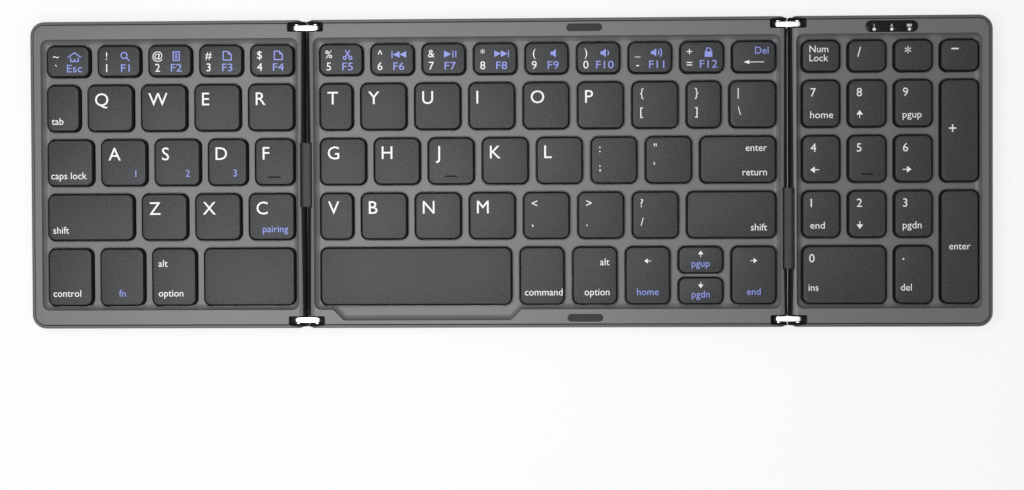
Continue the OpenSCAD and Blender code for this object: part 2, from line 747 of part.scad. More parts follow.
// Keycap: a shell with a bevelled top
module key_section() {
    b = key_bevel;
    polygon([[0, z_key], [key_r, z_key], [key_r, z_key_top - b], [key_r - b, z_key_top],
        [0, z_key_top]]);
}
module keycap(q) {
    x0 = q[0];
    y0 = q[1];
    x1 = q[0] + q[2];
    y1 = q[1] + q[3];
    b = key_bevel;
    difference() {
        union() {
            for (x = [x0 + key_r, x1 - key_r], y = [y0 + key_r, y1 - key_r])
                translate([x, y, 0]) rotate_extrude() key_section();
            translate([x0 + key_r, 0, 0]) rotate([90, 0, 90]) linear_extrude(q[2] - 2 * key_r)
                polygon([[y0, z_key], [y1, z_key], [y1, z_key_top - b], [y1 - b, z_key_top],
                    [y0 + b, z_key_top], [y0, z_key_top - b]]);
            translate([0, y1 - key_r, 0]) rotate([90, 0, 0]) linear_extrude(q[3] - 2 * key_r)
                polygon([[x0, z_key], [x1, z_key], [x1, z_key_top - b], [x1 - b, z_key_top],
                    [x0 + b, z_key_top], [x0, z_key_top - b]]);
        }
        rounded_prism(x0 + key_wall, y0 + key_wall, q[2] - 2 * key_wall, q[3] - 2 * key_wall,
            key_r - key_wall, z_key - over, z_key_ceiling);
    }
}
module keycaps(keys) {
    color([0.24, 0.24, 0.25]) for (q = keys) keycap(q);
}

// Links: plates with two bores, thicker at the middle when seen from above
module hinge_link() {
    l = pivot_out + link_r;
    bow = (link_t - link_end_t) / 2;
    arc = (l * l + bow * bow) / (2 * bow);
    difference() {
        intersection() {
            rotate([90, 0, 0]) linear_extrude(link_t, center = true) {
                square([2 * pivot_out, 2 * link_r], center = true);
                for (s = [-1, 1]) translate([s * pivot_out, 0]) circle(link_r);
            }
            linear_extrude(2 * link_r + over, center = true) intersection() {
                translate([0, arc - link_t / 2]) circle(arc, $fn = 200);
                translate([0, link_t / 2 - arc]) circle(arc, $fn = 200);
                square([2 * l + over, link_t + over], center = true);
            }
        }
        for (s = [-1, 1]) translate([s * pivot_out, 0, 0]) rotate([90, 0, 0])
            cylinder(h = link_t + over, r = pin_r + pin_clear, center = true);
    }
}
module hinge_links(x) {
    color([0.85, 0.86, 0.88]) for (y = [y_front + link_in, y_rear - link_in])
        translate([x, y, z_pivot]) hinge_link();
}

// Pins with a head outside the link, pressed into the panel's blocks
pin_l = pocket_in + pin_grip - link_in + link_t / 2 + play;
module hinge_pin() {
    rotate([90, 0, 0]) {
        cylinder(h = pin_l, r = pin_r);
        translate([0, 0, pin_l - e]) cylinder(h = pin_head_t + e, r = pin_head_r);
    }
}
module hinge_pins(p) {
    color([0.8, 0.8, 0.82]) at_folds(p) {
        translate([pivot_out, y_front + pocket_in + pin_grip, z_pivot]) hinge_pin();
        translate([pivot_out, y_rear - pocket_in - pin_grip, z_pivot]) mirror([0, 1, 0]) hinge_pin();
    }
}

// Sleeve over the flat cable between two panels: flat sides and a round back
module cable_sleeve(x, from_rear, l) {
    r = sleeve_w / 2;
    color([0.08, 0.08, 0.08]) translate([x, y_rear - from_rear, z_sleeve])
        rotate([90, 0, 0]) linear_extrude(l) {
            intersection() {
                translate([0, sleeve_h - r]) circle(r);
                translate([-r, sleeve_h - r]) square([sleeve_w, r]);
            }
            translate([-r, 0]) square([sleeve_w, sleeve_h - r]);
        }
}

// Foot strips along the front and rear of a panel
module foot_strips(p, z0, z1) {
    for (y = [y_front + foot_in, y_rear - foot_in])
        pill((p[0] + p[1]) / 2, y, p[1] - p[0] - 2 * foot_end, foot_w, z0, z1);
}
module feet(p) {
    color([0.1, 0.1, 0.1]) foot_strips(p, 0, foot_h + foot_sink);
}

// Countersunk screws with a cross recess, driven in from below
recess_l = 1.6;
recess_w = 0.3;
recess_d = 0.35;
module screw_head(grow) {
    rotate_extrude() polygon([[0, -e], [screw_head_r + grow, -e],
        [screw_r + grow, screw_head_h], [0, screw_head_h]]);
}
module screws(p) {
    color([0.3, 0.3, 0.31]) for (x = screw_xs(p), y = screw_ys) translate([x, y, foot_h])
        difference() {
            union() {
                translate([0, 0, e]) screw_head(0);
                cylinder(h = screw_top - foot_h, r = screw_r);
            }
            for (a = [0, 90]) rotate([0, 0, a]) translate([0, 0, recess_d - over])
                translate([-recess_l / 2, -recess_w / 2, 0]) cube([recess_l, recess_w, over]);
        }
}

// Rest pads that the folded wings' outer ends come down on
module pad_shapes(z0, z1, gap) {
    for (y = [y_front + pad_in, y_rear - pad_in])
        pill(x_seam, y, pad_l - 2 * gap, pad_w - 2 * gap, z0, z1);
}
module rest_pads() {
    color([0.1, 0.1, 0.1]) pad_shapes(z_top - pad_sink, z_top + pad_proud, play / 2);
}

module battery() {
    color([0.75, 0.76, 0.78])
        rounded_prism((x_fold_l + x_fold_r - battery_l) / 2, -battery_w / 2, battery_l, battery_w,
            rib_t, z_floor, z_plate - slip);
}

// Indicator window over three lenses
fit_gap = 0.03;
module window_shape(z0, z1, gap) {
    pill(window_x, y_rear - window_in, window_l - 2 * gap, window_w - 2 * gap, z0, z1);
}
module led_shapes(z0, z1, r) {
    for (s = [-1, 0, 1])
        translate([window_x + s * led_pitch, y_rear - window_in - led_forward, z0])
            cylinder(h = z1 - z0, r = r, $fn = 32);
}
module indicator_window() {
    color([0.03, 0.03, 0.04]) difference() {
        window_shape(z_top - window_t, z_top, fit_gap);
        led_shapes(0, z_top + over, led_r + fit_gap);
    }
}
module indicator_lenses() {
    color([0.95, 0.95, 0.95]) led_shapes(z_board + board_t, z_top, led_r);
}

// Circuit board under the rear rim of the right wing, cut out round port and posts
port_in = 0.15;
module circuit_board() {
    color([0.05, 0.25, 0.12]) difference() {
        translate([board_x, board_y, z_board]) cube([board_end - board_x, board_d, board_t]);
        translate([board_x - over, y_rear - port_in - port_d - play, 0])
            cube([port_x + port_w / 2 + play - board_x + over, far, far]);
        for (x = screw_xs(RIGHT), y = screw_ys)
            translate([x, y, 0]) cylinder(h = far, r = post_r + slip);
    }
}
module port_outline(grow) {
    r = port_h / 2 + grow;
    for (s = [-1, 1]) translate([s * (port_w - port_h) / 2, 0]) circle(r);
    translate([-(port_w - port_h) / 2, -r]) square([port_w - port_h, 2 * r]);
}
module at_port(from_rear) {
    translate([port_x, y_rear - from_rear, z_port + port_h / 2]) rotate([90, 0, 0]) children();
}
// Shell with a round-ended mouth, a back wall and the contact tongue
tongue_w = 6.6;
tongue_t = 0.7;
module charging_port() {
    color([0.78, 0.78, 0.8]) {
        difference() {
            at_port(port_in) linear_extrude(port_d) port_outline(0);
            at_port(0) linear_extrude(port_in + port_d - port_wall) port_outline(-port_wall);
        }
        at_port(port_in + tongue_t) linear_extrude(port_d - tongue_t)
            square([tongue_w, tongue_t], center = true);
    }
}
module port_mouth() {
    at_port(-over) linear_extrude(wall_t + 2 * over) port_outline(play);
}

// Slide switch: a housing on the board and a slider whose nub passes through the rear wall.
// The slider's shoulder runs between the housing and the cover's wall.
shoulder = 0.6;
switch_d = 2.2;
nub_deep = 1.2;
switch_l = nub_w + 2 * switch_travel + 2 * switch_wall;
switch_x = nub_x + switch_travel / 2;
switch_y = y_rear - wall_t - shoulder - 2 * slot_gap;
module power_switch() {
    color([0.6, 0.6, 0.62]) difference() {
        translate([switch_x - switch_l / 2, switch_y - switch_d, z_board + board_t])
            cube([switch_l, switch_d, z_switch_top - z_board - board_t]);
        translate([switch_x - switch_l / 2 + switch_wall, switch_y - nub_deep - slot_gap,
            z_nub - nub_h / 2 - slot_gap])
            cube([switch_l - 2 * switch_wall, far, nub_h + 2 * slot_gap]);
    }
}
module switch_slider() {
    color([0.07, 0.07, 0.07])
        translate([nub_x - nub_w / 2, switch_y, z_nub - nub_h / 2]) {
            translate([0, -nub_deep, 0]) cube([nub_w, y_rear + nub_out - switch_y + nub_deep, nub_h]);
            translate([-shoulder, slot_gap, 0]) cube([nub_w + 2 * shoulder, shoulder, nub_h]);
        }
}
module switch_slot() {
    translate([nub_x - nub_w / 2 - slot_gap, y_rear - wall_t - over, z_nub - nub_h / 2 - slot_gap])
        cube([nub_w + switch_travel + 2 * slot_gap, far, nub_h + 2 * slot_gap]);
}

shell_grey = [0.47, 0.48, 0.49];
frame_grey = [0.52, 0.53, 0.54];
steel = [0.62, 0.63, 0.65];

module left_bottom_cover() { color(shell_grey) bottom_cover(LEFT); }
module middle_bottom_cover() { color(shell_grey) bottom_cover(MIDDLE); }
module right_bottom_cover() {
    color(shell_grey) difference() {
        bottom_cover(RIGHT);
        port_mouth();
        switch_slot();
    }
}
module left_top_frame() { color(frame_grey) top_frame(LEFT); }
module middle_top_frame() { color(frame_grey) top_frame(MIDDLE); }
module right_top_frame() { color(frame_grey) top_frame(RIGHT); }
module plate_in(p) { color(steel) key_plate(p); }
module membrane_in(p) { color([0.7, 0.72, 0.68]) membrane(p); }
module domes_in(p) { color([0.8, 0.8, 0.75]) domes(p); }
module scissors_in(p) { color([0.9, 0.9, 0.9]) scissors(p); }

middle_bottom_cover();
middle_top_frame();
plate_in(MIDDLE);  // middle_key_plate
membrane_in(MIDDLE);  // middle_membrane
domes_in(MIDDLE);  // middle_domes
scissors_in(MIDDLE);  // middle_scissors
feet(MIDDLE);  // middle_feet
screws(MIDDLE);  // middle_screws
rest_pads();
battery();
left_bottom_cover();
left_top_frame();
plate_in(LEFT);  // left_key_plate
membrane_in(LEFT);  // left_membrane
domes_in(LEFT);  // left_domes
scissors_in(LEFT);  // left_scissors
feet(LEFT);  // left_feet
screws(LEFT);  // left_screws
right_bottom_cover();
right_top_frame();
plate_in(RIGHT);  // right_key_plate
membrane_in(RIGHT);  // right_membrane
domes_in(RIGHT);  // right_domes
scissors_in(RIGHT);  // right_scissors
feet(RIGHT);  // right_feet
screws(RIGHT);  // right_screws
circuit_board();
charging_port();
power_switch();
switch_slider();
indicator_window();
indicator_lenses();
hinge_links(x_fold_l);  // left_hinge_links
hinge_links(x_fold_r);  // right_hinge_links
hinge_pins(MIDDLE);  // middle_hinge_pins
hinge_pins(LEFT);  // left_hinge_pins
hinge_pins(RIGHT);  // right_hinge_pins
cable_sleeve(x_fold_l, left_sleeve_rear, left_sleeve_l);  // left_cable_sleeve
cable_sleeve(x_fold_r, right_sleeve_rear, right_sleeve_l);  // right_cable_sleeve
keycaps(left_number);  // left_number_keys
keycaps(left_upper);  // left_upper_keys
keycaps(left_home);  // left_home_keys
keycaps(left_lower);  // left_lower_keys
keycaps(left_front);  // left_front_keys
keycaps(left_space);  // left_space_key
keycaps(middle_number);  // middle_number_keys
keycaps(middle_upper);  // middle_upper_keys
keycaps(middle_home);  // middle_home_keys
keycaps(middle_lower);  // middle_lower_keys
keycaps(middle_front);  // middle_front_keys
keycaps(space_keys);  // space_bar
keycaps(return_keys);  // return_key
keycaps(keypad_rear);  // keypad_rear_keys
keycaps(keypad_upper);  // keypad_upper_keys
keycaps(keypad_middle);  // keypad_middle_keys
keycaps(keypad_lower);  // keypad_lower_keys
keycaps(keypad_zero);  // keypad_zero_keys
keycaps(keypad_plus);  // keypad_plus_key
keycaps(keypad_enter);  // keypad_enter_key
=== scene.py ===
"""Looks of the folding keyboard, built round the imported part.

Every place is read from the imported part, in metres. The classes below are the keyboard's own
sub-assemblies: keycaps with their printing, panels, folds, fittings and the underside.
"""

import json
import logging
import math
from collections.abc import Callable, Sequence
from dataclasses import dataclass, field
from enum import Enum

import bmesh
import bpy
from mathutils import Matrix, Vector

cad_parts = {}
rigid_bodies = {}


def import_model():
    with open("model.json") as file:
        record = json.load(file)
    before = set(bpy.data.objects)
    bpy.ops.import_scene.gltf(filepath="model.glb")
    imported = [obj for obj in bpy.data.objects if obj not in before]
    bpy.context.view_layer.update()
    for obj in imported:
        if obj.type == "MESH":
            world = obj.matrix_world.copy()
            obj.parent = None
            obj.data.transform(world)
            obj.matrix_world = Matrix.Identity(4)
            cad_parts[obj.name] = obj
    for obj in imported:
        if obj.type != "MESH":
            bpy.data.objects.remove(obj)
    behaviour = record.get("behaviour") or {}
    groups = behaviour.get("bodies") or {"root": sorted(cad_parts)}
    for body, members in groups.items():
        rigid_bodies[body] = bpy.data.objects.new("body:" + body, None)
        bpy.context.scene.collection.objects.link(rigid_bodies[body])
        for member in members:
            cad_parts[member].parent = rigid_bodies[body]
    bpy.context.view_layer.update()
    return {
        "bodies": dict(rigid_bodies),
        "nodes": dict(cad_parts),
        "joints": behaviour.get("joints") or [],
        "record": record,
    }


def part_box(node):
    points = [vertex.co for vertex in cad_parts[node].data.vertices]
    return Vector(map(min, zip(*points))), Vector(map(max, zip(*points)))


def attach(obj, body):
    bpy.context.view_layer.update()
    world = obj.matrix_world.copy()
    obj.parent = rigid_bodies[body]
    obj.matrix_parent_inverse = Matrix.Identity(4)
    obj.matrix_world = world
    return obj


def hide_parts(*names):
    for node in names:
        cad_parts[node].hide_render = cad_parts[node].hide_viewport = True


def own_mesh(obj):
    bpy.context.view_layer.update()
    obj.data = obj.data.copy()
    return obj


LOG = logging.getLogger("keyboard")
MM = 0.001
# Heights and corners nearer than this count as one
TOUCH = 0.001 * MM
# Lengths over this are real ones
APART = 0.01 * MM
# Gap up to which two spans are one piece
RUN_GAP = 0.02 * MM
# Cosine past which a face looks along an axis
FACING = 0.9
# The part of a noise that is spread over its whole range
NOISE_BAND = (0.3, 0.7)
# Soft clouds to a metre in the gloss, and how far they change it
CLOUDS = 30.0
GLOSS_SPREAD = 0.08
BUMP_STRENGTH = 0.6
COAT_ROUGHNESS = 0.05
Colour = tuple[int, int, int]
Point = tuple[float, float]


def linear(colour: Colour) -> tuple[float, float, float, float]:
    """Turns a display colour out of 255 into the scene's linear one.

    Args:
        colour: red, green and blue as a screen shows them.

    Returns:
        The linear colour with full opacity.
    """
    parts = [value / 255 for value in colour]
    done = [p / 12.92 if p <= 0.04045 else ((p + 0.055) / 1.055) ** 2.4 for p in parts]
    return (done[0], done[1], done[2], 1.0)


class Nodes:
    """Adds and links shader nodes in one material."""

    def __init__(self, tree: bpy.types.NodeTree) -> None:
        """Keeps the tree that the nodes go into."""
        self.tree = tree

    def add(self, kind: str, **settings: object) -> bpy.types.ShaderNode:
        """Adds a node.

        Args:
            kind: the node's type without its ShaderNode prefix.
            settings: the node's own properties.

        Returns:
            The new node.
        """
        node = self.tree.nodes.new("ShaderNode" + kind)
        for name, value in settings.items():
            setattr(node, name, value)
        return node

    def link(self, source: bpy.types.NodeSocket, target: bpy.types.NodeSocket) -> None:
        """Joins an output to an input."""
        self.tree.links.new(source, target)

    def coords(self, stretch: tuple[float, float, float] = (1, 1, 1)) -> bpy.types.NodeSocket:
        """Object coordinates, scaled along each axis.

        Args:
            stretch: factor along x, y and z.

        Returns:
            The socket with the coordinates.
        """
        place = self.add("TexCoord")
        mapping = self.add("Mapping")
        mapping.inputs["Scale"].default_value = stretch
        self.link(place.outputs["Object"], mapping.inputs["Vector"])
        return mapping.outputs["Vector"]

    def noise(self, where: bpy.types.NodeSocket, scale: float, detail: float) -> bpy.types.NodeSocket:
        """Soft noise from 0 to 1.

        Args:
            where: coordinates in metres.
            scale: how many grains to a metre.
            detail: how many finer layers.

        Returns:
            The socket with the noise.
        """
        node = self.add("TexNoise")
        node.inputs["Scale"].default_value = scale
        node.inputs["Detail"].default_value = detail
        self.link(where, node.inputs["Vector"])
        return node.outputs["Fac"]

    def spread(self, value: bpy.types.NodeSocket, low: float, high: float) -> bpy.types.NodeSocket:
        """Maps the middle part of a noise onto a range.

        Args:
            value: the noise.
            low: result at the noise's dark spots.
            high: result at its bright spots.

        Returns:
            The socket with the mapped value.
        """
        node = self.add("MapRange")
        node.inputs["From Min"].default_value = NOISE_BAND[0]
        node.inputs["From Max"].default_value = NOISE_BAND[1]
        node.inputs["To Min"].default_value = low
        node.inputs["To Max"].default_value = high
        self.link(value, node.inputs["Value"])
        return node.outputs["Result"]

    def mix(self, share: bpy.types.NodeSocket, first: Sequence[float],
            second: Sequence[float]) -> bpy.types.NodeSocket:
        """Mixes two colours.

        Args:
            share: how much of the second colour.
            first: linear colour where share is 0.
            second: linear colour where share is 1.

        Returns:
            The socket with the mixed colour.
        """
        node = self.add("Mix", data_type="RGBA")
        ends = {"A": first, "B": second}
        for socket in node.inputs:
            if socket.name in ends and socket.type == "RGBA":
                socket.default_value = ends[socket.name]
        self.link(share, node.inputs["Factor"])
        return [out for out in node.outputs if out.type == "RGBA"][0]


@dataclass(frozen=True)
class Finish:
    """A surface with a fine even grain, such as moulded plastic or satin paint."""

    name: str
    colour: Colour
    roughness: float
    metallic: float = 0.0
    mottle: float = 0.06
    grain: float = 2600.0
    relief: float = 0.012
    coat: float = 0.0
    specular: float = 0.5

    def material(self) -> bpy.types.Material:
        """Makes the material once and returns it afterwards.

        Returns:
            The material of this finish.
        """
        known = bpy.data.materials.get(self.name)
        if known:
            return known
        made = bpy.data.materials.new(self.name)
        made.use_nodes = True
        made.diffuse_color = linear(self.colour)
        shader = made.node_tree.nodes["Principled BSDF"]
        shader.inputs["Metallic"].default_value = self.metallic
        shader.inputs["Specular IOR Level"].default_value = self.specular
        shader.inputs["Coat Weight"].default_value = self.coat
        shader.inputs["Coat Roughness"].default_value = COAT_ROUGHNESS
        nodes = Nodes(made.node_tree)
        self.paint(nodes, shader)
        return made

    def shades(self) -> tuple[Sequence[float], Sequence[float]]:
        """The darker and lighter colour that the grain runs between."""
        base = linear(self.colour)
        dark = [v * (1 - self.mottle) for v in base[:3]] + [1.0]
        light = [min(v * (1 + self.mottle), 1.0) for v in base[:3]] + [1.0]
        return dark, light

    def pattern(self, nodes: Nodes) -> bpy.types.NodeSocket:
        """The grain that colour, gloss and relief follow."""
        return nodes.noise(nodes.coords(), self.grain, 3.0)

    def paint(self, nodes: Nodes, shader: bpy.types.ShaderNode) -> None:
        """Links the grain to the shader.

        Args:
            nodes: maker of the material's nodes.
            shader: the surface shader.
        """
        grain = self.pattern(nodes)
        cloud = nodes.noise(nodes.coords(), CLOUDS, 2.0)
        dark, light = self.shades()
        nodes.link(nodes.mix(nodes.spread(grain, 0.0, 1.0), dark, light), shader.inputs["Base Color"])
        gloss = nodes.spread(cloud, self.roughness * (1 - GLOSS_SPREAD), self.roughness * (1 + GLOSS_SPREAD))
        nodes.link(gloss, shader.inputs["Roughness"])
        bump = nodes.add("Bump")
        bump.inputs["Strength"].default_value = BUMP_STRENGTH
        bump.inputs["Distance"].default_value = self.relief * MM
        nodes.link(grain, bump.inputs["Height"])
        nodes.link(bump.outputs["Normal"], shader.inputs["Normal"])

    def dress(self, piece: bpy.types.Object) -> None:
        """Gives a piece this finish alone."""
        piece.data.materials.clear()
        piece.data.materials.append(self.material())


@dataclass(frozen=True)
class Brushed(Finish):
    """Metal with fine lines along the keyboard's length."""

    stretch: tuple[float, float, float] = (0.04, 1.0, 1.0)

    def pattern(self, nodes: Nodes) -> bpy.types.NodeSocket:
        """Noise drawn out along x."""
        return nodes.noise(nodes.coords(self.stretch), self.grain, 4.0)


@dataclass(frozen=True)
class Crumpled(Finish):
    """Thin foil over a soft pack, with creases."""

    def pattern(self, nodes: Nodes) -> bpy.types.NodeSocket:
        """Cells with sharp borders, as foil creases."""
        node = nodes.add("TexVoronoi", feature="DISTANCE_TO_EDGE")
        node.inputs["Scale"].default_value = self.grain
        nodes.link(nodes.coords(), node.inputs["Vector"])
        return node.outputs["Distance"]


@dataclass(frozen=True)
class Etched(Finish):
    """Circuit board lacquer over copper tracks."""

    def pattern(self, nodes: Nodes) -> bpy.types.NodeSocket:
        """Rows of tracks that break and turn."""
        node = nodes.add("TexBrick")
        node.inputs["Scale"].default_value = self.grain
        node.inputs["Mortar Size"].default_value = 0.06
        node.inputs["Brick Width"].default_value = 1.7
        node.inputs["Row Height"].default_value = 0.35
        nodes.link(nodes.coords(), node.inputs["Vector"])
        return node.outputs["Fac"]


class Finishes(Enum):
    """Every finish on the keyboard, under the material slot it stands for."""

    shell = Finish("shell_satin", (86, 88, 89), 0.42, 0.0, 0.04, 2600.0, 0.012, 0.0, 0.35)
    frame = Finish("frame_satin", (104, 106, 108), 0.38, 0.0, 0.04, 2600.0, 0.012, 0.0, 0.35)
    keycap = Finish("keycap_grain", (48, 50, 52), 0.45, 0.0, 0.34, 1400.0, 0.06, 0.0, 0.25)
    steel_sheet = Brushed("steel_plate", (150, 152, 155), 0.35, 1.0, 0.08, 6000.0)
    film = Finish("membrane_film", (178, 182, 172), 0.3, 0.0, 0.05, 900.0)
    silicone = Finish("dome_silicone", (200, 200, 190), 0.45, 0.0, 0.03)
    white_plastic = Finish("scissor_plastic", (226, 226, 224), 0.45, 0.0, 0.02)
    rubber = Finish("pad_rubber", (24, 24, 25), 0.72, 0.0, 0.2, 3500.0, 0.03)
    screw_steel = Brushed("screw_steel", (70, 70, 72), 0.35, 1.0, 0.1, 9000.0)
    foil = Crumpled("battery_foil", (190, 192, 196), 0.28, 1.0, 0.05, 260.0, 0.15)
    board = Etched("board_lacquer", (18, 78, 48), 0.3, 0.0, 0.35, 500.0, 0.03, 0.6)
    port_steel = Brushed("port_steel", (188, 190, 194), 0.3, 1.0, 0.05, 9000.0)
    switch_housing = Brushed("switch_steel", (160, 160, 164), 0.35, 1.0, 0.06, 9000.0)
    slider_plastic = Finish("slider_plastic", (30, 30, 31), 0.45, 0.0, 0.1)
    window = Finish("window_gloss", (6, 6, 7), 0.28, 0.0, 0.2, 1500.0, 0.001, 0.0, 0.15)
    lens = Finish("lens_white", (235, 236, 238), 0.3, 0.0, 0.02)
    chrome_link = Brushed("link_chrome", (232, 233, 236), 0.3, 1.0, 0.04, 7000.0, 0.002)
    pin_steel = Brushed("pin_steel", (196, 197, 202), 0.22, 1.0, 0.04, 9000.0, 0.002)
    sleeve_rubber = Finish("sleeve_rubber", (12, 12, 13), 0.7, 0.0, 0.2, 3500.0, 0.02, 0.0, 0.3)


class Ink(Enum):
    """Colours of the printing on the keys."""

    WHITE = Finish("print_white", (240, 241, 242), 0.45, 0.0, 0.03, 4000.0, 0.002)
    BLUE = Finish("print_blue", (138, 148, 228), 0.45, 0.0, 0.04, 4000.0, 0.002)


class Shade(Enum):
    """Painted shade: darker colours for the faces that lie in shadow, beside the finish of a piece's slot.
    """

    # Painted shade on the keycaps' sides and bevels, for the dark gap and shaded sides round each key
    SKIRT = Finish("keycap_skirt_painted_shade", (10, 10, 11), 0.65, 0.0, 0.1, 2600.0, 0.01, 0.0, 0.15)
    # Painted shade on the rolled panel edges in the folds and in the links' pockets
    FOLD = Finish("fold_black", (13, 13, 14), 0.6, 0.0, 0.15, 2600.0, 0.01, 0.0, 0.3)
    SEAM = Finish("seam_shadow", (44, 45, 46), 0.5, 0.0, 0.1, 2600.0, 0.01, 0.0, 0.35)


@dataclass(frozen=True)
class Rect:
    """A piece's plan: its two ends along x and along y, in metres."""

    x0: float
    x1: float
    y0: float
    y1: float

    @property
    def size(self) -> Point:
        """Width and depth."""
        return (self.x1 - self.x0, self.y1 - self.y0)

    @property
    def centre(self) -> Point:
        """Middle point."""
        return ((self.x0 + self.x1) / 2, (self.y0 + self.y1) / 2)


def runs(spans: Sequence[Point]) -> list[Point]:
    """Merges the spans that touch.

    Args:
        spans: low and high ends, in any order.

    Returns:
        The merged spans from low to high.
    """
    merged: list[Point] = []
    for low, high in sorted(spans):
        if merged and low <= merged[-1][1] + RUN_GAP:
            merged[-1] = (merged[-1][0], max(high, merged[-1][1]))
        else:
            merged.append((low, high))
    return merged


def rects(node: bpy.types.Object) -> list[Rect]:
    """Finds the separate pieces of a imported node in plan.

    Args:
        node: the node, whose pieces lie clear of each other.

    Returns:
        One plan for each piece, from left to right and then from front to rear.
    """
    points = [v.co for v in node.data.vertices]
    faces = [[points[i] for i in face.vertices] for face in node.data.polygons]
    boxes = [(min(p.x for p in f), max(p.x for p in f), min(p.y for p in f), max(p.y for p in f))
             for f in faces]
    found = []
    for x0, x1 in runs([(b[0], b[1]) for b in boxes]):
        inside = [b for b in boxes if x0 - APART <= b[0] and b[1] <= x1 + APART]
        found += [Rect(x0, x1, y0, y1) for y0, y1 in runs([(b[2], b[3]) for b in inside])]
    return found


class Bench:
    """The modelling operators, used on one piece at a time."""

    @staticmethod
    def block(name: str, plan: Rect, low: float, high: float) -> bpy.types.Object:
        """Adds a cuboid with its place in its mesh.

        Args:
            name: the piece's name.
            plan: its plan.
            low: height of its underside.
            high: height of its top.

        Returns:
            The new piece.
        """
        bpy.ops.object.select_all(action="DESELECT")
        x, y = plan.centre
        width, depth = plan.size
        bpy.ops.mesh.primitive_cube_add(
            size=1, location=(x, y, (low + high) / 2), scale=(width, depth, high - low))
        piece = bpy.context.object
        piece.name = piece.data.name = name
        bpy.ops.object.transform_apply(location=True, rotation=True, scale=True)
        return piece

    @staticmethod
    def edges(piece: bpy.types.Object, wanted: Callable[[Vector, Vector], bool]) -> None:
        """Selects edges in edit mode.

        Args:
            piece: the active piece.
            wanted: says from an edge's two ends whether it is selected.
        """
        bpy.ops.object.mode_set(mode="EDIT")
        bpy.ops.mesh.select_mode(type="EDGE")
        bpy.ops.mesh.select_all(action="DESELECT")
        mesh = bmesh.from_edit_mesh(piece.data)
        for edge in mesh.edges:
            if wanted(edge.verts[0].co, edge.verts[1].co):
                edge.select_set(True)
        bmesh.update_edit_mesh(piece.data)

    @staticmethod
    def faces(piece: bpy.types.Object, wanted: Callable[[Vector, Vector], bool]) -> None:
        """Selects faces in edit mode.

        Args:
            piece: the active piece.
            wanted: says from a face's centre and normal whether it is selected.
        """
        bpy.ops.object.mode_set(mode="EDIT")
        bpy.ops.mesh.select_mode(type="FACE")
        bpy.ops.mesh.select_all(action="DESELECT")
        mesh = bmesh.from_edit_mesh(piece.data)
        for face in mesh.faces:
            if wanted(face.calc_center_median(), face.normal):
                face.select_set(True)
        bmesh.update_edit_mesh(piece.data)

    @staticmethod
    def bevel(width: float, segments: int) -> None:
        """Rounds the selected edges by a width in metres."""
        bpy.ops.mesh.bevel(offset=width, segments=segments, affect="EDGES", clamp_overlap=True)

    @staticmethod
    def sink(depth: float) -> None:
        """Extrudes the selected faces by a height in metres."""
        bpy.ops.mesh.extrude_region_move(TRANSFORM_OT_translate={"value": (0, 0, depth)})

    @staticmethod
    def finish(piece: bpy.types.Object, angle: float = 40.0) -> bpy.types.Object:
        """Leaves edit mode and shades the piece smooth up to an angle in degrees."""
        if piece.mode == "EDIT":
            bpy.ops.object.mode_set(mode="OBJECT")
        bpy.ops.object.shade_smooth_by_angle(angle=math.radians(angle))
        return piece

    @staticmethod
    def pill(name: str, plan: Rect, low: float, high: float, edge: float) -> bpy.types.Object:
        """Models a pad with rounded ends and rounded upper edges.

        Args:
            name: the piece's name.
            plan: its plan.
            low: height of its underside.
            high: height of its top.
            edge: radius along its upper edges.

        Returns:
            The piece, still in edit mode.
        """
        piece = Bench.block(name, plan, low, high)
        radius = min(plan.size) / 2 - 5 * TOUCH
        Bench.edges(piece, lambda a, b: abs(a.z - b.z) > APART)
        Bench.bevel(radius, 8)
        Bench.edges(piece, lambda a, b: min(a.z, b.z) > high - TOUCH)
        Bench.bevel(edge, 3)
        return piece

    @staticmethod
    def copy_of(source: bpy.types.Object, name: str) -> bpy.types.Object:
        """Copies a piece with its own mesh and makes the copy active."""
        twin = bpy.data.objects.new(name, source.data.copy())
        twin.data.name = name
        bpy.context.scene.collection.objects.link(twin)
        bpy.ops.object.select_all(action="DESELECT")
        twin.select_set(True)
        bpy.context.view_layer.objects.active = twin
        return twin

    @staticmethod
    def refined(node: bpy.types.Object, name: str, edge: float = 0.0,
                angle: float = 30.0) -> bpy.types.Object:
        """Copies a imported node, merges its triangles and rounds its edges.

        Args:
            node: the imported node.
            name: the new piece's name.
            edge: width of the rounding in metres, or 0 for none.
            angle: the least angle of an edge that is rounded or stays sharp, in degrees.

        Returns:
            The new piece.
        """
        piece = Bench.copy_of(node, name)
        if piece.data.has_custom_normals:
            bpy.ops.mesh.customdata_custom_splitnormals_clear()
        bpy.ops.object.mode_set(mode="EDIT")
        bpy.ops.mesh.select_all(action="SELECT")
        bpy.ops.mesh.remove_doubles(threshold=TOUCH / 2)
        if edge:
            bpy.ops.mesh.dissolve_limited(angle_limit=math.radians(0.4))
        bpy.ops.object.mode_set(mode="OBJECT")
        if edge:
            bevel = piece.modifiers.new("edges", "BEVEL")
            bevel.width = edge
            bevel.segments = 2
            bevel.limit_method = "ANGLE"
            bevel.angle_limit = math.radians(angle)
            bpy.ops.object.modifier_apply(modifier=bevel.name)
        return Bench.finish(piece, angle)


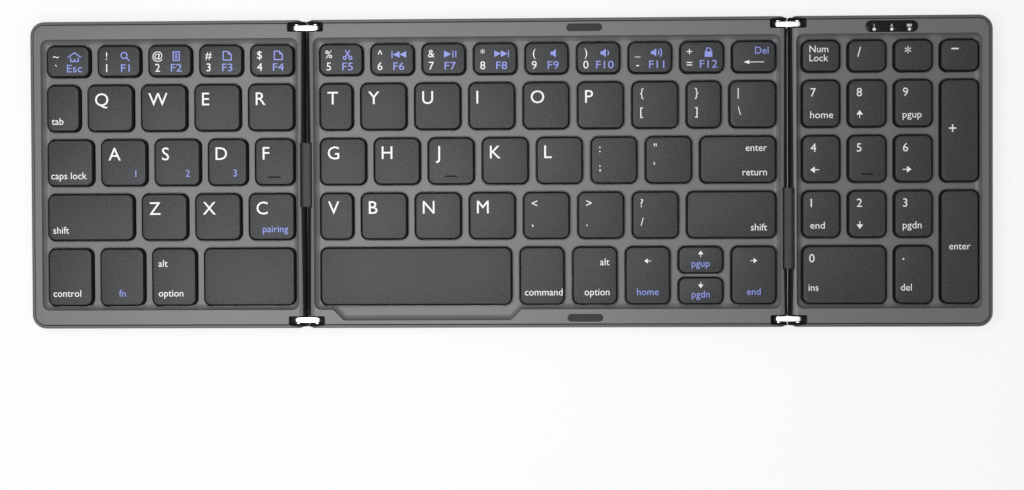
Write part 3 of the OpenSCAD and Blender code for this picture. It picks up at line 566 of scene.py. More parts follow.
@dataclass
class SubAssembly:
    """Common work of the sub-assemblies: dress a piece and tie it to its body."""

    nodes: dict[str, bpy.types.Object]

    def settle(self, piece: bpy.types.Object, body: str, slot: str, *stands_for: str) -> None:
        """Dresses a finished piece and lets it ride its body.

        Args:
            piece: the finished piece.
            body: the body it moves with.
            slot: the material slot it takes its finish from.
            stands_for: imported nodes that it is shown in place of.
        """
        Finishes[slot].value.dress(piece)
        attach(piece, body)
        if stands_for:
            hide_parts(*stands_for)
        LOG.info("%s rides %s", piece.name, body)

    @staticmethod
    def shade(piece: bpy.types.Object, shade: Shade,
              wanted: Callable[[Vector, Vector], bool]) -> None:
        """Paints shade on some faces of a dressed piece, as a darker colour.

        Args:
            piece: the piece.
            shade: the painted shade.
            wanted: says from a face's centre and normal whether it is darker.
        """
        piece.data.materials.append(shade.value.material())
        index = len(piece.data.materials) - 1
        for face in piece.data.polygons:
            if wanted(face.center, face.normal):
                face.material_index = index


class Corner(Enum):
    """The point of a key that a mark is placed from: share of its width and of its depth."""

    REAR_LEFT = (0.0, 1.0)
    REAR_MIDDLE = (0.5, 1.0)
    REAR_RIGHT = (1.0, 1.0)
    CENTRE = (0.5, 0.5)
    FRONT_LEFT = (0.0, 0.0)
    FRONT_MIDDLE = (0.5, 0.0)
    FRONT_RIGHT = (1.0, 0.0)


@dataclass(frozen=True)
class Mark:
    """One printed word, letter or sign on a key. Its lengths are in millimetres.

    across is measured inwards from the corner to the mark's near side, or to its middle where
    it is centred, and along is the distance from the corner to the baseline.
    """

    text: str
    corner: Corner
    across: float
    along: float
    height: float
    ink: Ink = Ink.WHITE
    squeeze: float = 1.0
    centred: bool = False


def letter(sign: str) -> list[Mark]:
    """A letter key's mark."""
    return [Mark(sign, Corner.REAR_LEFT, 2.6, 6.8, 4.0)]


WORD_HEIGHT = 2.15


def word(text: str, across: float = 1.6, along: float = 2.4, ink: Ink = Ink.WHITE,
         corner: Corner = Corner.FRONT_LEFT) -> Mark:
    """A small word near the front edge of a key."""
    return Mark(text, corner, across, along, WORD_HEIGHT, ink, 0.98)


def pair(upper: str, lower: str, across: float = 2.8) -> list[Mark]:
    """A sign above another on a key."""
    return [Mark(upper, Corner.REAR_LEFT, across, 5.0, 2.5),
            Mark(lower, Corner.REAR_LEFT, across, 10.9, 2.5)]


def number(upper: str, lower: str, sign: str, function: str) -> list[Mark]:
    """A number key: its two signs in white, a sign and its function in blue."""
    return [Mark(upper, Corner.REAR_LEFT, 3.1, 4.6, 2.4, centred=True),
            Mark(lower, Corner.REAR_LEFT, 3.1, 8.5, 2.5, centred=True),
            Mark("#" + sign, Corner.REAR_LEFT, 9.1, 5.1, 3.0, Ink.BLUE, centred=True),
            Mark(function, Corner.REAR_LEFT, 9.1, 8.5, 2.4, Ink.BLUE, 1.15, True)]


def pad_key(sign: str, below: str = "") -> list[Mark]:
    """A key of the number pad: a digit above a word or an arrow."""
    marks = [Mark(sign, Corner.REAR_LEFT, 2.8, 5.3, 2.6)]
    if below.startswith("#"):
        marks.append(Mark(below, Corner.REAR_LEFT, 2.7, 12.1, 2.3))
    elif below:
        marks.append(Mark(below, Corner.REAR_LEFT, 2.7, 12.1, WORD_HEIGHT, Ink.WHITE, 1.03))
    return marks


def arrow_key(sign: str, below: str) -> list[Mark]:
    """A cursor key: an arrow above a blue word."""
    return [Mark("#" + sign, Corner.REAR_MIDDLE, 0.0, 5.6, 1.8),
            word(below, 0.0, 3.1, Ink.BLUE, Corner.FRONT_MIDDLE)]


def short_arrow_key(sign: str, below: str) -> list[Mark]:
    """A cursor key of half the depth."""
    return [Mark("#" + sign, Corner.REAR_MIDDLE, 0.0, 3.5, 1.9),
            word(below, 0.0, 2.3, Ink.BLUE, Corner.FRONT_MIDDLE)]


PRINTING: dict[str, list[list[Mark]]] = {
    "left_number_keys": [
        number("~", "`", "house", "Esc"), number("!", "1", "glass", "F1"),
        number("@", "2", "copy", "F2"), number("#", "3", "page", "F3"),
        number("$", "4", "page", "F4")],
    "left_upper_keys": [[word("tab")], letter("Q"), letter("W"), letter("E"), letter("R")],
    "left_home_keys": [
        [word("caps lock", 1.3)],
        *(letter(sign) + [word(digit, 3.4, 3.0, Ink.BLUE, Corner.FRONT_RIGHT)]
          for sign, digit in zip("ASD", "123")),
        letter("F")],
    "left_lower_keys": [
        [word("shift", 1.8)], letter("Z"), letter("X"),
        letter("C") + [word("pairing", 2.2, 2.6, Ink.BLUE, Corner.FRONT_RIGHT)]],
    "left_front_keys": [
        [word("control", 1.7, 3.1)], [word("fn", 0.0, 3.1, Ink.BLUE, Corner.FRONT_MIDDLE)],
        [word("alt", 2.2, 6.0, corner=Corner.REAR_LEFT), word("option", 2.2, 3.1)]],
    "middle_number_keys": [
        number("%", "5", "cut", "F5"), number("^", "6", "back", "F6"),
        number("&", "7", "play", "F7"), number("*", "8", "next", "F8"),
        number("(", "9", "quiet", "F9"), number(")", "0", "loud", "F10"),
        number("_", "-", "louder", "F11"), number("+", "=", "lock", "F12"),
        [Mark("Del", Corner.REAR_RIGHT, 2.4, 4.2, 2.2, Ink.BLUE),
         Mark("#long", Corner.REAR_MIDDLE, 0.0, 7.8, 2.0)]],
    "middle_upper_keys": [letter(sign) for sign in "TYUIOP"] + [
        pair("{", "["), pair("}", "]"), pair("|", "\\")],
    "middle_home_keys": [letter(sign) for sign in "GHJKL"] + [pair(":", ";"), pair("\"", "'")],
    "return_key": [[
        word("enter", 3.0, 4.9, corner=Corner.REAR_RIGHT),
        word("return", 3.0, 2.5, corner=Corner.FRONT_RIGHT)]],
    "middle_lower_keys": [letter(sign) for sign in "VBNM"] + [
        pair("<", ","), pair(">", "."), pair("?", "/"),
        [word("shift", 3.0, 2.5, corner=Corner.FRONT_RIGHT)]],
    "middle_front_keys": [
        [word("command", 1.7, 3.1)],
        [word("alt", 2.6, 6.0, corner=Corner.REAR_RIGHT),
         word("option", 2.6, 3.1, corner=Corner.FRONT_RIGHT)],
        arrow_key("left", "home"), short_arrow_key("down", "pgdn"),
        short_arrow_key("up", "pgup"), arrow_key("right", "end")],
    "keypad_rear_keys": [
        [Mark("Num", Corner.REAR_LEFT, 2.5, 3.9, 2.1),
         Mark("Lock", Corner.REAR_LEFT, 2.5, 6.7, 2.1)],
        [Mark("/", Corner.REAR_LEFT, 3.6, 5.35, 3.0, centred=True)],
        [Mark("*", Corner.REAR_LEFT, 4.35, 5.8, 3.4, centred=True)],
        [Mark("-", Corner.REAR_LEFT, 4.6, 4.1, 3.2, squeeze=2.0, centred=True)]],
    "keypad_upper_keys": [pad_key("7", "home"), pad_key("8", "#up"), pad_key("9", "pgup")],
    "keypad_middle_keys": [pad_key("4", "#left"), pad_key("5"), pad_key("6", "#right")],
    "keypad_lower_keys": [pad_key("1", "end"), pad_key("2", "#down"), pad_key("3", "pgdn")],
    "keypad_zero_keys": [
        [Mark("0", Corner.REAR_LEFT, 2.3, 5.3, 2.6), word("ins", 2.1, 4.3)],
        [Mark(".", Corner.REAR_LEFT, 2.6, 4.6, 3.4), word("del", 2.1, 4.3)]],
    "keypad_plus_key": [[Mark("+", Corner.CENTRE, -2.25, -1.0, 3.4)]],
    "keypad_enter_key": [[word("enter", 0.0, -0.8, corner=Corner.CENTRE)]],
}


ARC_STEP = 20


def ring(x: float, y: float, radius: float, start: float = 0, end: float = 360) -> list[Point]:
    """Points on an arc.

    Args:
        x: centre across.
        y: centre along.
        radius: its radius.
        start: first angle in degrees.
        end: last angle in degrees.

    Returns:
        The points, with the first one repeated at the end of a full ring.
    """
    count = max(4, int(abs(end - start) / ARC_STEP))
    angles = [math.radians(start + (end - start) * i / count) for i in range(count + 1)]
    return [(x + radius * math.cos(a), y + radius * math.sin(a)) for a in angles]


class Sign(Enum):
    """Small signs in a square of side 1: filled shapes, and lines of the sign's stroke width."""

    house = ([], [[(-0.2, 0.45), (0.5, 0.95), (1.2, 0.45)],
                  [(0.1, 0.42), (0.1, 0.02), (0.9, 0.02), (0.9, 0.42)], [(0.5, 0), (0.5, 0.3)]])
    glass = ([], [ring(0.38, 0.62, 0.32), [(0.62, 0.38), (0.98, 0.02)]])
    copy = ([], [[(0.1, 0.05), (0.1, 0.95), (0.75, 0.95), (0.75, 0.05), (0.1, 0.05)],
                 [(0.28, 0.3), (0.58, 0.3)], [(0.28, 0.5), (0.58, 0.5)], [(0.28, 0.7), (0.58, 0.7)]])
    page = ([[(0.62, 1.0), (0.62, 0.62), (1.0, 0.62)]],
            [[(0.1, 0.05), (0.1, 0.95), (0.62, 0.95), (0.95, 0.62), (0.95, 0.05), (0.1, 0.05)]])
    cut = ([], [ring(0.2, 0.18, 0.16), ring(0.8, 0.18, 0.16), [(0.3, 0.32), (0.75, 1)],
                [(0.7, 0.32), (0.25, 1)]])
    back = ([[(0.85, 0.15), (0.85, 0.85), (0.15, 0.5)], [(1.55, 0.15), (1.55, 0.85), (0.85, 0.5)]],
            [[(0.05, 0.15), (0.05, 0.85)]])
    play = ([[(0, 0.12), (0, 0.88), (0.75, 0.5)]],
            [[(0.95, 0.15), (0.95, 0.85)], [(1.25, 0.15), (1.25, 0.85)]])
    next = ([[(0, 0.15), (0, 0.85), (0.7, 0.5)], [(0.7, 0.15), (0.7, 0.85), (1.4, 0.5)]],
            [[(1.5, 0.15), (1.5, 0.85)]])
    quiet = ([[(0, 0.33), (0.22, 0.33), (0.55, 0.05), (0.55, 0.95), (0.22, 0.67), (0, 0.67)]], [])
    loud = (quiet[0], [ring(0.5, 0.5, 0.34, -45, 45)])
    louder = (quiet[0], [ring(0.5, 0.5, 0.34, -45, 45), ring(0.5, 0.5, 0.62, -45, 45)])
    lock = ([[(0.1, 0), (0.9, 0), (0.9, 0.58), (0.1, 0.58)]],
            [[(0.25, 0.5)] + ring(0.5, 0.7, 0.25, 180, 0) + [(0.75, 0.5)]])
    left = ([[(0, 0.5), (0.62, 0.95), (0.62, 0.05)]], [[(0.5, 0.5), (1.2, 0.5)]])
    right = ([[(1.2, 0.5), (0.58, 0.95), (0.58, 0.05)]], [[(0, 0.5), (0.7, 0.5)]])
    up = ([[(0.5, 1.05), (0.05, 0.45), (0.95, 0.45)]], [[(0.5, 0), (0.5, 0.6)]])
    down = ([[(0.5, -0.05), (0.95, 0.55), (0.05, 0.55)]], [[(0.5, 0.4), (0.5, 1.0)]])
    long = ([[(0, 0.5), (0.9, 0.82), (0.9, 0.18)]], [[(0.8, 0.5), (3.2, 0.5)]])
    battery = ([[(0.12, 0.28), (1.2, 0.28), (1.2, 0.72), (0.12, 0.72)],
                [(1.5, 0.35), (1.65, 0.35), (1.65, 0.65), (1.5, 0.65)]],
               [[(0, 0.12), (1.5, 0.12), (1.5, 0.88), (0, 0.88), (0, 0.12)]])


@dataclass
class Printer:
    """Prints marks on keys as thin closed plates, one piece for each row of keys."""

    thickness: float = 0.012 * MM
    sunk: float = 0.004 * MM
    cap_share: float = 0.0
    stroke: float = 0.11
    mitre: float = 0.3
    same: float = 1e-6

    def __post_init__(self) -> None:
        """Measures how high a capital stands at size 1."""
        piece = self.text("H", 1.0)
        self.cap_share = max(v.co.y for v in piece.data.vertices)
        bpy.data.objects.remove(piece)

    def to_mesh(self, piece: bpy.types.Object) -> bpy.types.Object:
        """Makes the active text or curve a mesh with merged edges."""
        piece.data.extrude = self.thickness / 2
        bpy.ops.object.convert(target="MESH")
        piece = bpy.context.object
        bpy.ops.object.mode_set(mode="EDIT")
        bpy.ops.mesh.select_all(action="SELECT")
        bpy.ops.mesh.remove_doubles(threshold=TOUCH / 20)
        bpy.ops.object.mode_set(mode="OBJECT")
        return piece

    def text(self, words: str, size: float) -> bpy.types.Object:
        """Makes words at the origin, on their baseline.

        Args:
            words: what is printed.
            size: the type's size in metres.

        Returns:
            The words as a mesh.
        """
        bpy.ops.object.select_all(action="DESELECT")
        bpy.ops.object.text_add()
        piece = bpy.context.object
        piece.data.body = words
        piece.data.size = size
        piece.data.resolution_u = 3
        return self.to_mesh(piece)

    def offset(self, line: list[Point], side: float) -> list[Point]:
        """Moves a line sideways, with mitred corners.

        Args:
            line: its points; a closed one ends where it starts.
            side: distance to the left, as a share of the sign's side.

        Returns:
            The moved points.
        """
        normals = []
        for (x0, y0), (x1, y1) in zip(line, line[1:]):
            length = math.hypot(x1 - x0, y1 - y0)
            normals.append(((y0 - y1) / length, (x1 - x0) / length))
        closed = math.dist(line[0], line[-1]) < self.same
        moved = []
        for index, (x, y) in enumerate(line):
            before = normals[index - 1] if index or closed else normals[0]
            after = normals[index % len(normals)] if index < len(normals) or closed else normals[-1]
            scale = side / max(1 + before[0] * after[0] + before[1] * after[1], self.mitre)
            moved.append((x + (before[0] + after[0]) * scale, y + (before[1] + after[1]) * scale))
        return moved

    def outlines(self, sign: Sign) -> list[list[list[Point]]]:
        """Outlines of a sign's shapes; a closed line gives an outer and an inner outline."""
        fills, lines = sign.value
        shapes = [[list(fill)] for fill in fills]
        for line in lines:
            left, right = self.offset(line, self.stroke / 2), self.offset(line, -self.stroke / 2)
            if math.dist(line[0], line[-1]) < self.same:
                shapes.append([left[:-1], right[:-1]])
            else:
                shapes.append([left + right[::-1]])
        return shapes

    def sign(self, sign: Sign, height: float) -> bpy.types.Object:
        """Makes a sign at the origin.

        Args:
            sign: which sign.
            height: the side of its square in metres.

        Returns:
            The sign as a mesh.
        """
        parts = []
        for order, loops in enumerate(self.outlines(sign)):
            curve = bpy.data.curves.new("sign", "CURVE")
            curve.dimensions = "2D"
            curve.fill_mode = "BOTH"
            for loop in loops:
                spline = curve.splines.new("POLY")
                spline.points.add(len(loop) - 1)
                for point, (x, y) in zip(spline.points, loop):
                    point.co = (x * height, y * height, 0, 1)
                spline.use_cyclic_u = True
            piece = bpy.data.objects.new("sign", curve)
            bpy.context.scene.collection.objects.link(piece)
            bpy.ops.object.select_all(action="DESELECT")
            piece.select_set(True)
            bpy.context.view_layer.objects.active = piece
            piece = self.to_mesh(piece)
            piece.data.transform(Matrix.Translation((0, 0, order * self.sunk / 10)))
            parts.append(piece)
        return self.join(parts)

    @staticmethod
    def join(parts: Sequence[bpy.types.Object]) -> bpy.types.Object:
        """Joins meshes into the first of them."""
        bpy.ops.object.select_all(action="DESELECT")
        for part in parts:
            part.select_set(True)
        bpy.context.view_layer.objects.active = parts[0]
        if len(parts) > 1:
            bpy.ops.object.join()
        return bpy.context.view_layer.objects.active

    def put(self, mark: Mark, plan: Rect, top: float) -> bpy.types.Object:
        """Makes one mark in its place on a key.

        Args:
            mark: what is printed and where.
            plan: the key's plan.
            top: height of the key's top.

        Returns:
            The mark, with its place in its mesh.
        """
        if mark.text.startswith("#") and len(mark.text) > 1:
            piece = self.sign(Sign[mark.text[1:]], mark.height * MM)
        else:
            piece = self.text(mark.text, mark.height * MM / self.cap_share)
        share_x, share_y = mark.corner.value
        xs = [v.co.x * mark.squeeze for v in piece.data.vertices]
        inwards = -1 if share_x == 1 else 1
        anchor = {0.0: min(xs), 0.5: (min(xs) + max(xs)) / 2, 1.0: max(xs)}[
            0.5 if mark.centred else share_x]
        x = plan.x0 + share_x * plan.size[0] + inwards * mark.across * MM - anchor
        forwards = -1 if share_y == 1 else 1
        y = plan.y0 + share_y * plan.size[1] + forwards * mark.along * MM
        z = top + self.thickness / 2 - self.sunk
        place = Matrix.Translation((x, y, z)) @ Matrix.Diagonal((mark.squeeze, 1, 1, 1))
        piece.data.transform(place)
        piece.data.materials.clear()
        piece.data.materials.append(mark.ink.value.material())
        return piece


@dataclass
class Keycaps(SubAssembly):
    """The 81 keycaps with their printing, one piece for each cap."""

    corner: float = 2.4 * MM
    bevel: float = 0.55 * MM
    ridge: float = 0.12 * MM
    corner_faces: int = 7
    ridge_faces: int = 2
    # Faces that lean more than this get the painted shade on the keycap's sides and bevel
    skirt_lean: float = 0.97
    bar_size: tuple[float, float, float] = (4.0 * MM, 0.45 * MM, 0.14 * MM)
    bar_from_front: float = 2.7 * MM
    bars: dict[str, int] = field(default_factory=lambda: {
        "left_home_keys": 4, "middle_home_keys": 2, "keypad_middle_keys": 1})
    patterns: dict[tuple[int, int], bpy.types.Object] = field(default_factory=dict)

    @staticmethod
    def hollow(node: bpy.types.Object, plan: Rect) -> Point:
        """Measures the hollow under a packed key.

        Args:
            node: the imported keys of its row.
            plan: the key's plan.

        Returns:
            Its wall, and the height of its ceiling.
        """
        faces = [(f.center, f.normal) for f in node.data.polygons if plan.x0 < f.center.x < plan.x1]
        walls = [centre.x - plan.x0 for centre, normal in faces if normal.x > FACING]
        return min(walls), max(centre.z for centre, normal in faces if normal.z < -FACING)

    def model(self, size: Point, low: float, high: float, wall: float,
              ceiling: float) -> bpy.types.Object:
        """Models a cap over the origin: rounded corners, a bevelled top and a hollow underside.

        Args:
            size: its width and depth.
            low: height of its lower edge.
            high: height of its top.
            wall: thickness of its sides.
            ceiling: height of its hollow's upper face.

        Returns:
            The cap.
        """
        plan = Rect(-size[0] / 2, size[0] / 2, -size[1] / 2, size[1] / 2)
        cap = Bench.block("cap_pattern", plan, low, high)
        Bench.edges(cap, lambda a, b: abs(a.z - b.z) > APART)
        Bench.bevel(self.corner, self.corner_faces)
        Bench.edges(cap, lambda a, b: min(a.z, b.z) > high - TOUCH)
        Bench.bevel(self.bevel, 1)
        Bench.edges(cap, lambda a, b: min(a.z, b.z) > high - TOUCH)
        Bench.bevel(self.ridge, self.ridge_faces)
        shoulder = high - self.bevel
        Bench.edges(cap, lambda a, b: max(abs(a.z - shoulder), abs(b.z - shoulder)) < TOUCH)
        Bench.bevel(self.ridge, self.ridge_faces)
        Bench.faces(cap, lambda centre, normal: normal.z < -FACING)
        bpy.ops.mesh.inset(thickness=wall, depth=0)
        Bench.sink(ceiling - low)
        return Bench.finish(cap, 30)

    def build(self, printer: Printer) -> None:
        """Makes every cap, homing bar and row of printing.

        Args:
            printer: what prints the marks.
        """
        for row, marks in (PRINTING | {"left_space_key": [[]], "space_bar": [[]]}).items():
            low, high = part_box(row)
            plans = rects(self.nodes[row])
            if len(plans) != len(marks):
                raise ValueError(f"{row} has {len(plans)} keys and {len(marks)} sets of marks")
            for index, plan in enumerate(plans):
                self.cap(row, index, plan, low.z, high.z)
            if row in self.bars:
                self.bar(row, plans[self.bars[row]], high.z)
            printed = [printer.put(mark, plan, high.z)
                       for plan, some in zip(plans, marks) for mark in some]
            if printed:
                piece = printer.join(printed)
                piece.name = piece.data.name = row + "_print"
                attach(piece, row)
                LOG.info("%s rides %s", piece.name, row)
        for pattern in self.patterns.values():
            bpy.data.objects.remove(pattern)

    def cap(self, row: str, index: int, plan: Rect, low: float, high: float) -> None:
        """Places one cap, copied from the pattern of its size.

        Args:
            row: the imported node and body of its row.
            index: its place in the row.
            plan: its plan.
            low: height of its lower edge.
            high: height of its top.
        """
        size = (round(plan.size[0] / MM * 50), round(plan.size[1] / MM * 50))
        if size not in self.patterns:
            self.patterns[size] = self.model(plan.size, low, high, *self.hollow(self.nodes[row], plan))
        base = row.removesuffix("_keys").removesuffix("_key")
        cap = Bench.copy_of(self.patterns[size], f"cap_{base}_{index + 1}")
        cap.data.transform(Matrix.Translation((*plan.centre, 0)))
        self.settle(cap, row, "keycap", *([row] if index == 0 else []))
        # Painted shade on the cap's sides and bevel
        self.shade(cap, Shade.SKIRT, lambda centre, normal: normal.z < self.skirt_lean)

    def bar(self, row: str, plan: Rect, top: float) -> None:
        """Raises the bar by which a finger finds the key.

        Args:
            row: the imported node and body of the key's row.
            plan: the key's plan.
            top: height of the key's top.
        """
        length, depth, height = self.bar_size
        x = plan.centre[0]
        y = plan.y0 + self.bar_from_front
        place = Rect(x - length / 2, x + length / 2, y - depth / 2, y + depth / 2)
        bar = Bench.pill(f"bar_{row}", place, top - 0.1 * MM, top + height, 0.1 * MM)
        self.settle(Bench.finish(bar), row, "keycap")
        # Painted shade over the whole bar, so that it shows as a dark line on the key
        self.shade(bar, Shade.SKIRT, lambda centre, normal: True)


@dataclass
class Panels(SubAssembly):
    """Frames and covers of the three panels, merged and shaded smooth, with painted shade in the folds, the
    links' pockets and along the top seam.
    """

    # Width on each side of a fold over which the panel edges get painted shade
    fold_black: float = 1.4 * MM
    seam_band: float = 0.45 * MM
    outline_corner: float = 3.4 * MM
    pocket_lip: float = 0.3 * MM
    pocket_gap: float = 1.2 * MM
    roll_low: float = 4 * MM
    roll_lean: float = 0.88
    seam_lean: tuple[float, float] = (0.02, 0.97)
    bodies: dict[str, str] = field(default_factory=lambda: {
        "left": "left_wing", "middle": "middle", "right": "right_wing"})

    def build(self) -> None:
        """Makes the frame and the cover of each panel."""
        links = [*rects(self.nodes["left_hinge_links"]), *rects(self.nodes["right_hinge_links"])]
        folds = [(low.x + high.x) / 2 for low, high in (
            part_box("left_cable_sleeve"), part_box("right_cable_sleeve"))]
        dark = self.in_fold(folds, links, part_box("middle_top_frame")[1].z)
        for side, body in self.bodies.items():
            for part, slot in (("top_frame", "frame"), ("bottom_cover", "shell")):
                name = f"{side}_{part}"
                piece = Bench.refined(self.nodes[name], f"{name}_moulding")
                self.settle(piece, body, slot, name)
                # Painted shade in the folds and the links' pockets
                self.shade(piece, Shade.FOLD, dark)
            low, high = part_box(f"{side}_top_frame")
            frame = bpy.data.objects[f"{side}_top_frame_moulding"]
            plan = Rect(low.x, high.x, low.y, high.y)
            # Painted shadow along the frame's outer top edge, beside the seam to the cover
            self.shade(frame, Shade.SEAM, lambda centre, normal:
                       self.seam_lean[0] < normal.z < self.seam_lean[1]
                       and centre.z > high.z - self.seam_band
                       and self.depth_in(centre, plan) < self.seam_band)

    def in_fold(self, folds: Sequence[float], pockets: Sequence[Rect],
                top: float) -> Callable[[Vector, Vector], bool]:
        """Makes the test for a face that gets painted shade, where a fold or a link's pocket keeps it in the
        dark.

        Args:
            folds: where the folds run along x.
            pockets: plans of the hinge links.
            top: height of the frames' top.

        Returns:
            A test that takes a face's centre and normal.
        """
        def dark(centre: Vector, normal: Vector) -> bool:
            if centre.z > self.roll_low and normal.z < self.roll_lean and min(
                    abs(centre.x - fold) for fold in folds) < self.fold_black:
                return True
            return centre.z < top - self.pocket_lip and any(
                p.x0 - self.pocket_gap < centre.x < p.x1 + self.pocket_gap
                and p.y0 - self.pocket_gap < centre.y < p.y1 + self.pocket_gap for p in pockets)
        return dark

    def depth_in(self, point: Vector, plan: Rect) -> float:
        """How far a point lies inside a plan with rounded corners.

        Args:
            point: the point.
            plan: the plan.

        Returns:
            The distance to the outline in metres.
        """
        r = self.outline_corner
        dx = abs(point.x - plan.centre[0]) - plan.size[0] / 2 + r
        dy = abs(point.y - plan.centre[1]) - plan.size[1] / 2 + r
        return r - math.hypot(max(dx, 0), max(dy, 0)) - min(max(dx, dy), 0)


@dataclass
class Folds(SubAssembly):
    """Chrome links with their pins, and the rubber sleeves over the flat cables."""

    link_edge: float = 0.14 * MM
    sleeve_round: float = 1.2 * MM
    sleeve_faces: int = 6
    sleeve_end: float = 0.25 * MM
    sleeve_dome: float = 0.15 * MM
    pin_edge: float = 0.08 * MM
    squash_below: float = 2.4 * MM
    squash_to: float = 0.1

    def build(self) -> None:
        """Makes the links, pins and sleeves of both folds."""
        for side in ("left", "right"):
            links = Bench.refined(self.nodes[f"{side}_hinge_links"], f"{side}_links", self.link_edge)
            self.settle(links, f"{side}_links", "chrome_link", f"{side}_hinge_links")
            self.sleeve(side)
        for side, body in (("left", "left_wing"), ("middle", "middle"), ("right", "right_wing")):
            pins = Bench.refined(self.nodes[f"{side}_hinge_pins"], f"{side}_pins", self.pin_edge)
            self.settle(pins, body, "pin_steel", f"{side}_hinge_pins")

    def sleeve(self, side: str) -> None:
        """Models a sleeve with a round back.

        Args:
            side: left or right.
        """
        node = f"{side}_cable_sleeve"
        low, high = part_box(node)
        sleeve = Bench.block(f"{side}_sleeve", Rect(low.x, high.x, low.y, high.y), low.z, high.z)
        Bench.edges(sleeve, lambda a, b: abs(a.y - b.y) > MM and min(a.z, b.z) > high.z - TOUCH)
        Bench.bevel(self.sleeve_round, self.sleeve_faces)
        Bench.faces(sleeve, lambda centre, normal: abs(normal.y) > FACING)
        bpy.ops.mesh.inset(thickness=self.sleeve_end, depth=self.sleeve_dome)
        self.settle(Bench.finish(sleeve), f"{side}_links", "sleeve_rubber", node)
        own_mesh(sleeve)


@dataclass
class Fittings(SubAssembly):
    """Rest pads, indicator window, power switch and charging port."""

    pad_edge: float = 0.2 * MM
    label_height: float = 0.9
    label_gap: float = 0.25

    def build(self, printer: Printer) -> None:
        """Makes the fittings of the middle and right panels.

        Args:
            printer: what prints the window's signs.
        """
        low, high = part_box("rest_pads")
        for plan, end in zip(rects(self.nodes["rest_pads"]), ("front", "rear")):
            pad = Bench.pill(f"rest_pad_{end}", plan, low.z, high.z, self.pad_edge)
            stands_for = ["rest_pads"] if end == "front" else []
            self.settle(Bench.finish(pad), "middle", "rubber", *stands_for)
        for node, slot, edge in (("indicator_window", "window", 0.06 * MM),
                                 ("indicator_lenses", "lens", 0.0),
                                 ("charging_port", "port_steel", 0.0),
                                 ("power_switch", "switch_housing", 0.05 * MM)):
            piece = Bench.refined(self.nodes[node], f"{node}_piece", edge)
            self.settle(piece, "right_wing", slot, node)
        nub = Bench.refined(self.nodes["switch_slider"], "switch_nub", 0.12 * MM)
        self.settle(nub, "power_slider", "slider_plastic", "switch_slider")
        self.labels(printer)

    def labels(self, printer: Printer) -> None:
        """Prints a sign over each indicator."""
        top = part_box("indicator_window")[1].z
        lenses = rects(self.nodes["indicator_lenses"])
        texts = ("1", "A", "#battery")
        marks = [Mark(text, Corner.REAR_MIDDLE, 0.0, -self.label_gap, self.label_height) for text in texts]
        piece = printer.join([printer.put(m, plan, top) for m, plan in zip(marks, lenses)])
        piece.name = piece.data.name = "indicator_print"
        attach(piece, "right_wing")
        LOG.info("%s rides right_wing", piece.name)


@dataclass
class Underside(SubAssembly):
    """Foot strips and screws under each panel."""

    foot_edge: float = 0.2 * MM

    def build(self) -> None:
        """Makes the strips and screws of the three panels."""
        for side, body in (("left", "left_wing"), ("middle", "middle"), ("right", "right_wing")):
            node = f"{side}_feet"
            low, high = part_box(node)
            for plan, end in zip(rects(self.nodes[node]), ("front", "rear")):
                foot = Bench.pill(f"{side}_foot_{end}", plan, low.z, high.z, 0.05 * MM)
                Bench.edges(foot, lambda a, b: max(a.z, b.z) < low.z + TOUCH)
                Bench.bevel(self.foot_edge, 2)
                self.settle(Bench.finish(foot), body, "rubber", *([node] if end == "front" else []))
            screws = Bench.refined(self.nodes[f"{side}_screws"], f"{side}_screw_heads", 0.04 * MM)
            self.settle(screws, body, "screw_steel", f"{side}_screws")


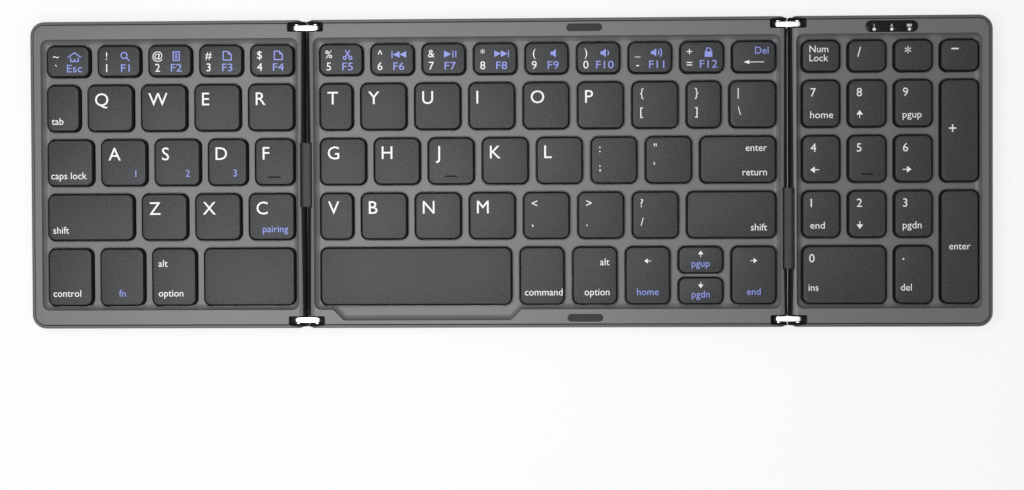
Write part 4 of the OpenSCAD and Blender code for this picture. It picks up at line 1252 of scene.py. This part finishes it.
@dataclass
class Studio:
    """Floor, light and camera."""

    floor_size: float = 4.0
    floor_colour: Colour = (246, 246, 246)
    floor_roughness: float = 0.9
    floor_grain: float = 300.0
    floor_shade: float = 0.99
    glow: float = 0.8
    sky: float = 0.3
    lamp_power: float = 1.3
    lamp_size: float = 0.3
    lamp_place: tuple[float, float, float] = (-0.09, -0.03, 0.38)
    lamp_aim: tuple[float, float, float] = (-0.08, 0.0, 0.0)
    lens: float = 71.14
    camera_place: tuple[float, float, float] = (0.02631, -0.01092, 0.64937)
    camera_turn: tuple[float, float, float] = (-1.083, 2.233, -0.266)

    def build(self) -> None:
        """Sets up the view, the floor, the lamp and the camera."""
        bpy.context.scene.view_settings.view_transform = "Standard"
        self.world()
        self.floor()
        self.lamp()
        self.camera()

    def world(self) -> None:
        """Even light from all round, with white behind the object."""
        world = bpy.data.worlds.new("studio")
        world.use_nodes = True
        bpy.context.scene.world = world
        nodes = Nodes(world.node_tree)
        backdrop = world.node_tree.nodes["Background"]
        backdrop.inputs["Color"].default_value = (1, 1, 1, 1)
        strength = nodes.add("MapRange")
        strength.inputs["To Min"].default_value = self.sky
        strength.inputs["To Max"].default_value = 1.0
        nodes.link(self.seen(nodes), strength.inputs["Value"])
        nodes.link(strength.outputs["Result"], backdrop.inputs["Strength"])

    @staticmethod
    def seen(nodes: Nodes) -> bpy.types.NodeSocket:
        """Tells the rays that see the white background from those that light the object.

        Args:
            nodes: maker of the nodes.

        Returns:
            A socket with 1 for a camera, glossy or transmission ray and 0 for the others.
        """
        path = nodes.add("LightPath")
        rays = path.outputs["Is Camera Ray"]
        for name in ("Is Glossy Ray", "Is Transmission Ray"):
            either = nodes.add("Math", operation="MAXIMUM")
            nodes.link(rays, either.inputs[0])
            nodes.link(path.outputs[name], either.inputs[1])
            rays = either.outputs["Value"]
        return rays

    def floor(self) -> None:
        """A white floor that keeps the object's shadow."""
        bpy.ops.object.select_all(action="DESELECT")
        bpy.ops.mesh.primitive_plane_add(size=self.floor_size)
        floor = bpy.context.object
        floor.name = "floor"
        made = bpy.data.materials.new("floor_white")
        made.use_nodes = True
        nodes = Nodes(made.node_tree)
        shader = made.node_tree.nodes["Principled BSDF"]
        shader.inputs["Roughness"].default_value = self.floor_roughness
        grain = nodes.noise(nodes.coords(), self.floor_grain, 2.0)
        base = linear(self.floor_colour)
        low = [v * self.floor_shade for v in base[:3]] + [1.0]
        nodes.link(nodes.mix(grain, low, base), shader.inputs["Base Color"])
        glow = nodes.add("Emission")
        mixer = nodes.add("MixShader")
        share = nodes.add("Math", operation="MULTIPLY")
        share.inputs[1].default_value = self.glow
        nodes.link(self.seen(nodes), share.inputs[0])
        nodes.link(share.outputs["Value"], mixer.inputs["Fac"])
        nodes.link(shader.outputs["BSDF"], mixer.inputs[1])
        nodes.link(glow.outputs["Emission"], mixer.inputs[2])
        output = made.node_tree.nodes["Material Output"]
        nodes.link(mixer.outputs["Shader"], output.inputs["Surface"])
        floor.data.materials.append(made)

    def lamp(self) -> None:
        """A soft lamp nearer the left end, so that the light falls off to the right."""
        light = bpy.data.lights.new("softbox", "AREA")
        light.energy = self.lamp_power
        light.size = self.lamp_size
        lamp = bpy.data.objects.new("softbox", light)
        bpy.context.scene.collection.objects.link(lamp)
        place = Vector(self.lamp_place)
        lamp.location = place
        lamp.rotation_euler = (Vector(self.lamp_aim) - place).to_track_quat("-Z", "Y").to_euler()

    def camera(self) -> None:
        """The camera from which the keyboard was photographed."""
        data = bpy.data.cameras.new("camera")
        data.lens = self.lens
        camera = bpy.data.objects.new("camera", data)
        bpy.context.scene.collection.objects.link(camera)
        camera.location = self.camera_place
        camera.rotation_euler = [math.radians(turn) for turn in self.camera_turn]
        bpy.context.scene.camera = camera


def main() -> None:
    """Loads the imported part, dresses it and builds its sub-assemblies."""
    logging.basicConfig(level=logging.INFO, format="%(message)s")
    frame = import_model()
    nodes = frame["nodes"]
    for part in frame["record"]["subparts"]:
        Finishes[part["material_slot"]].value.dress(nodes[part["node"]])
    Studio().build()
    printer = Printer()
    Panels(nodes).build()
    Keycaps(nodes).build(printer)
    Folds(nodes).build()
    Fittings(nodes).build(printer)
    Underside(nodes).build()


if __name__ == "__main__":
    main()
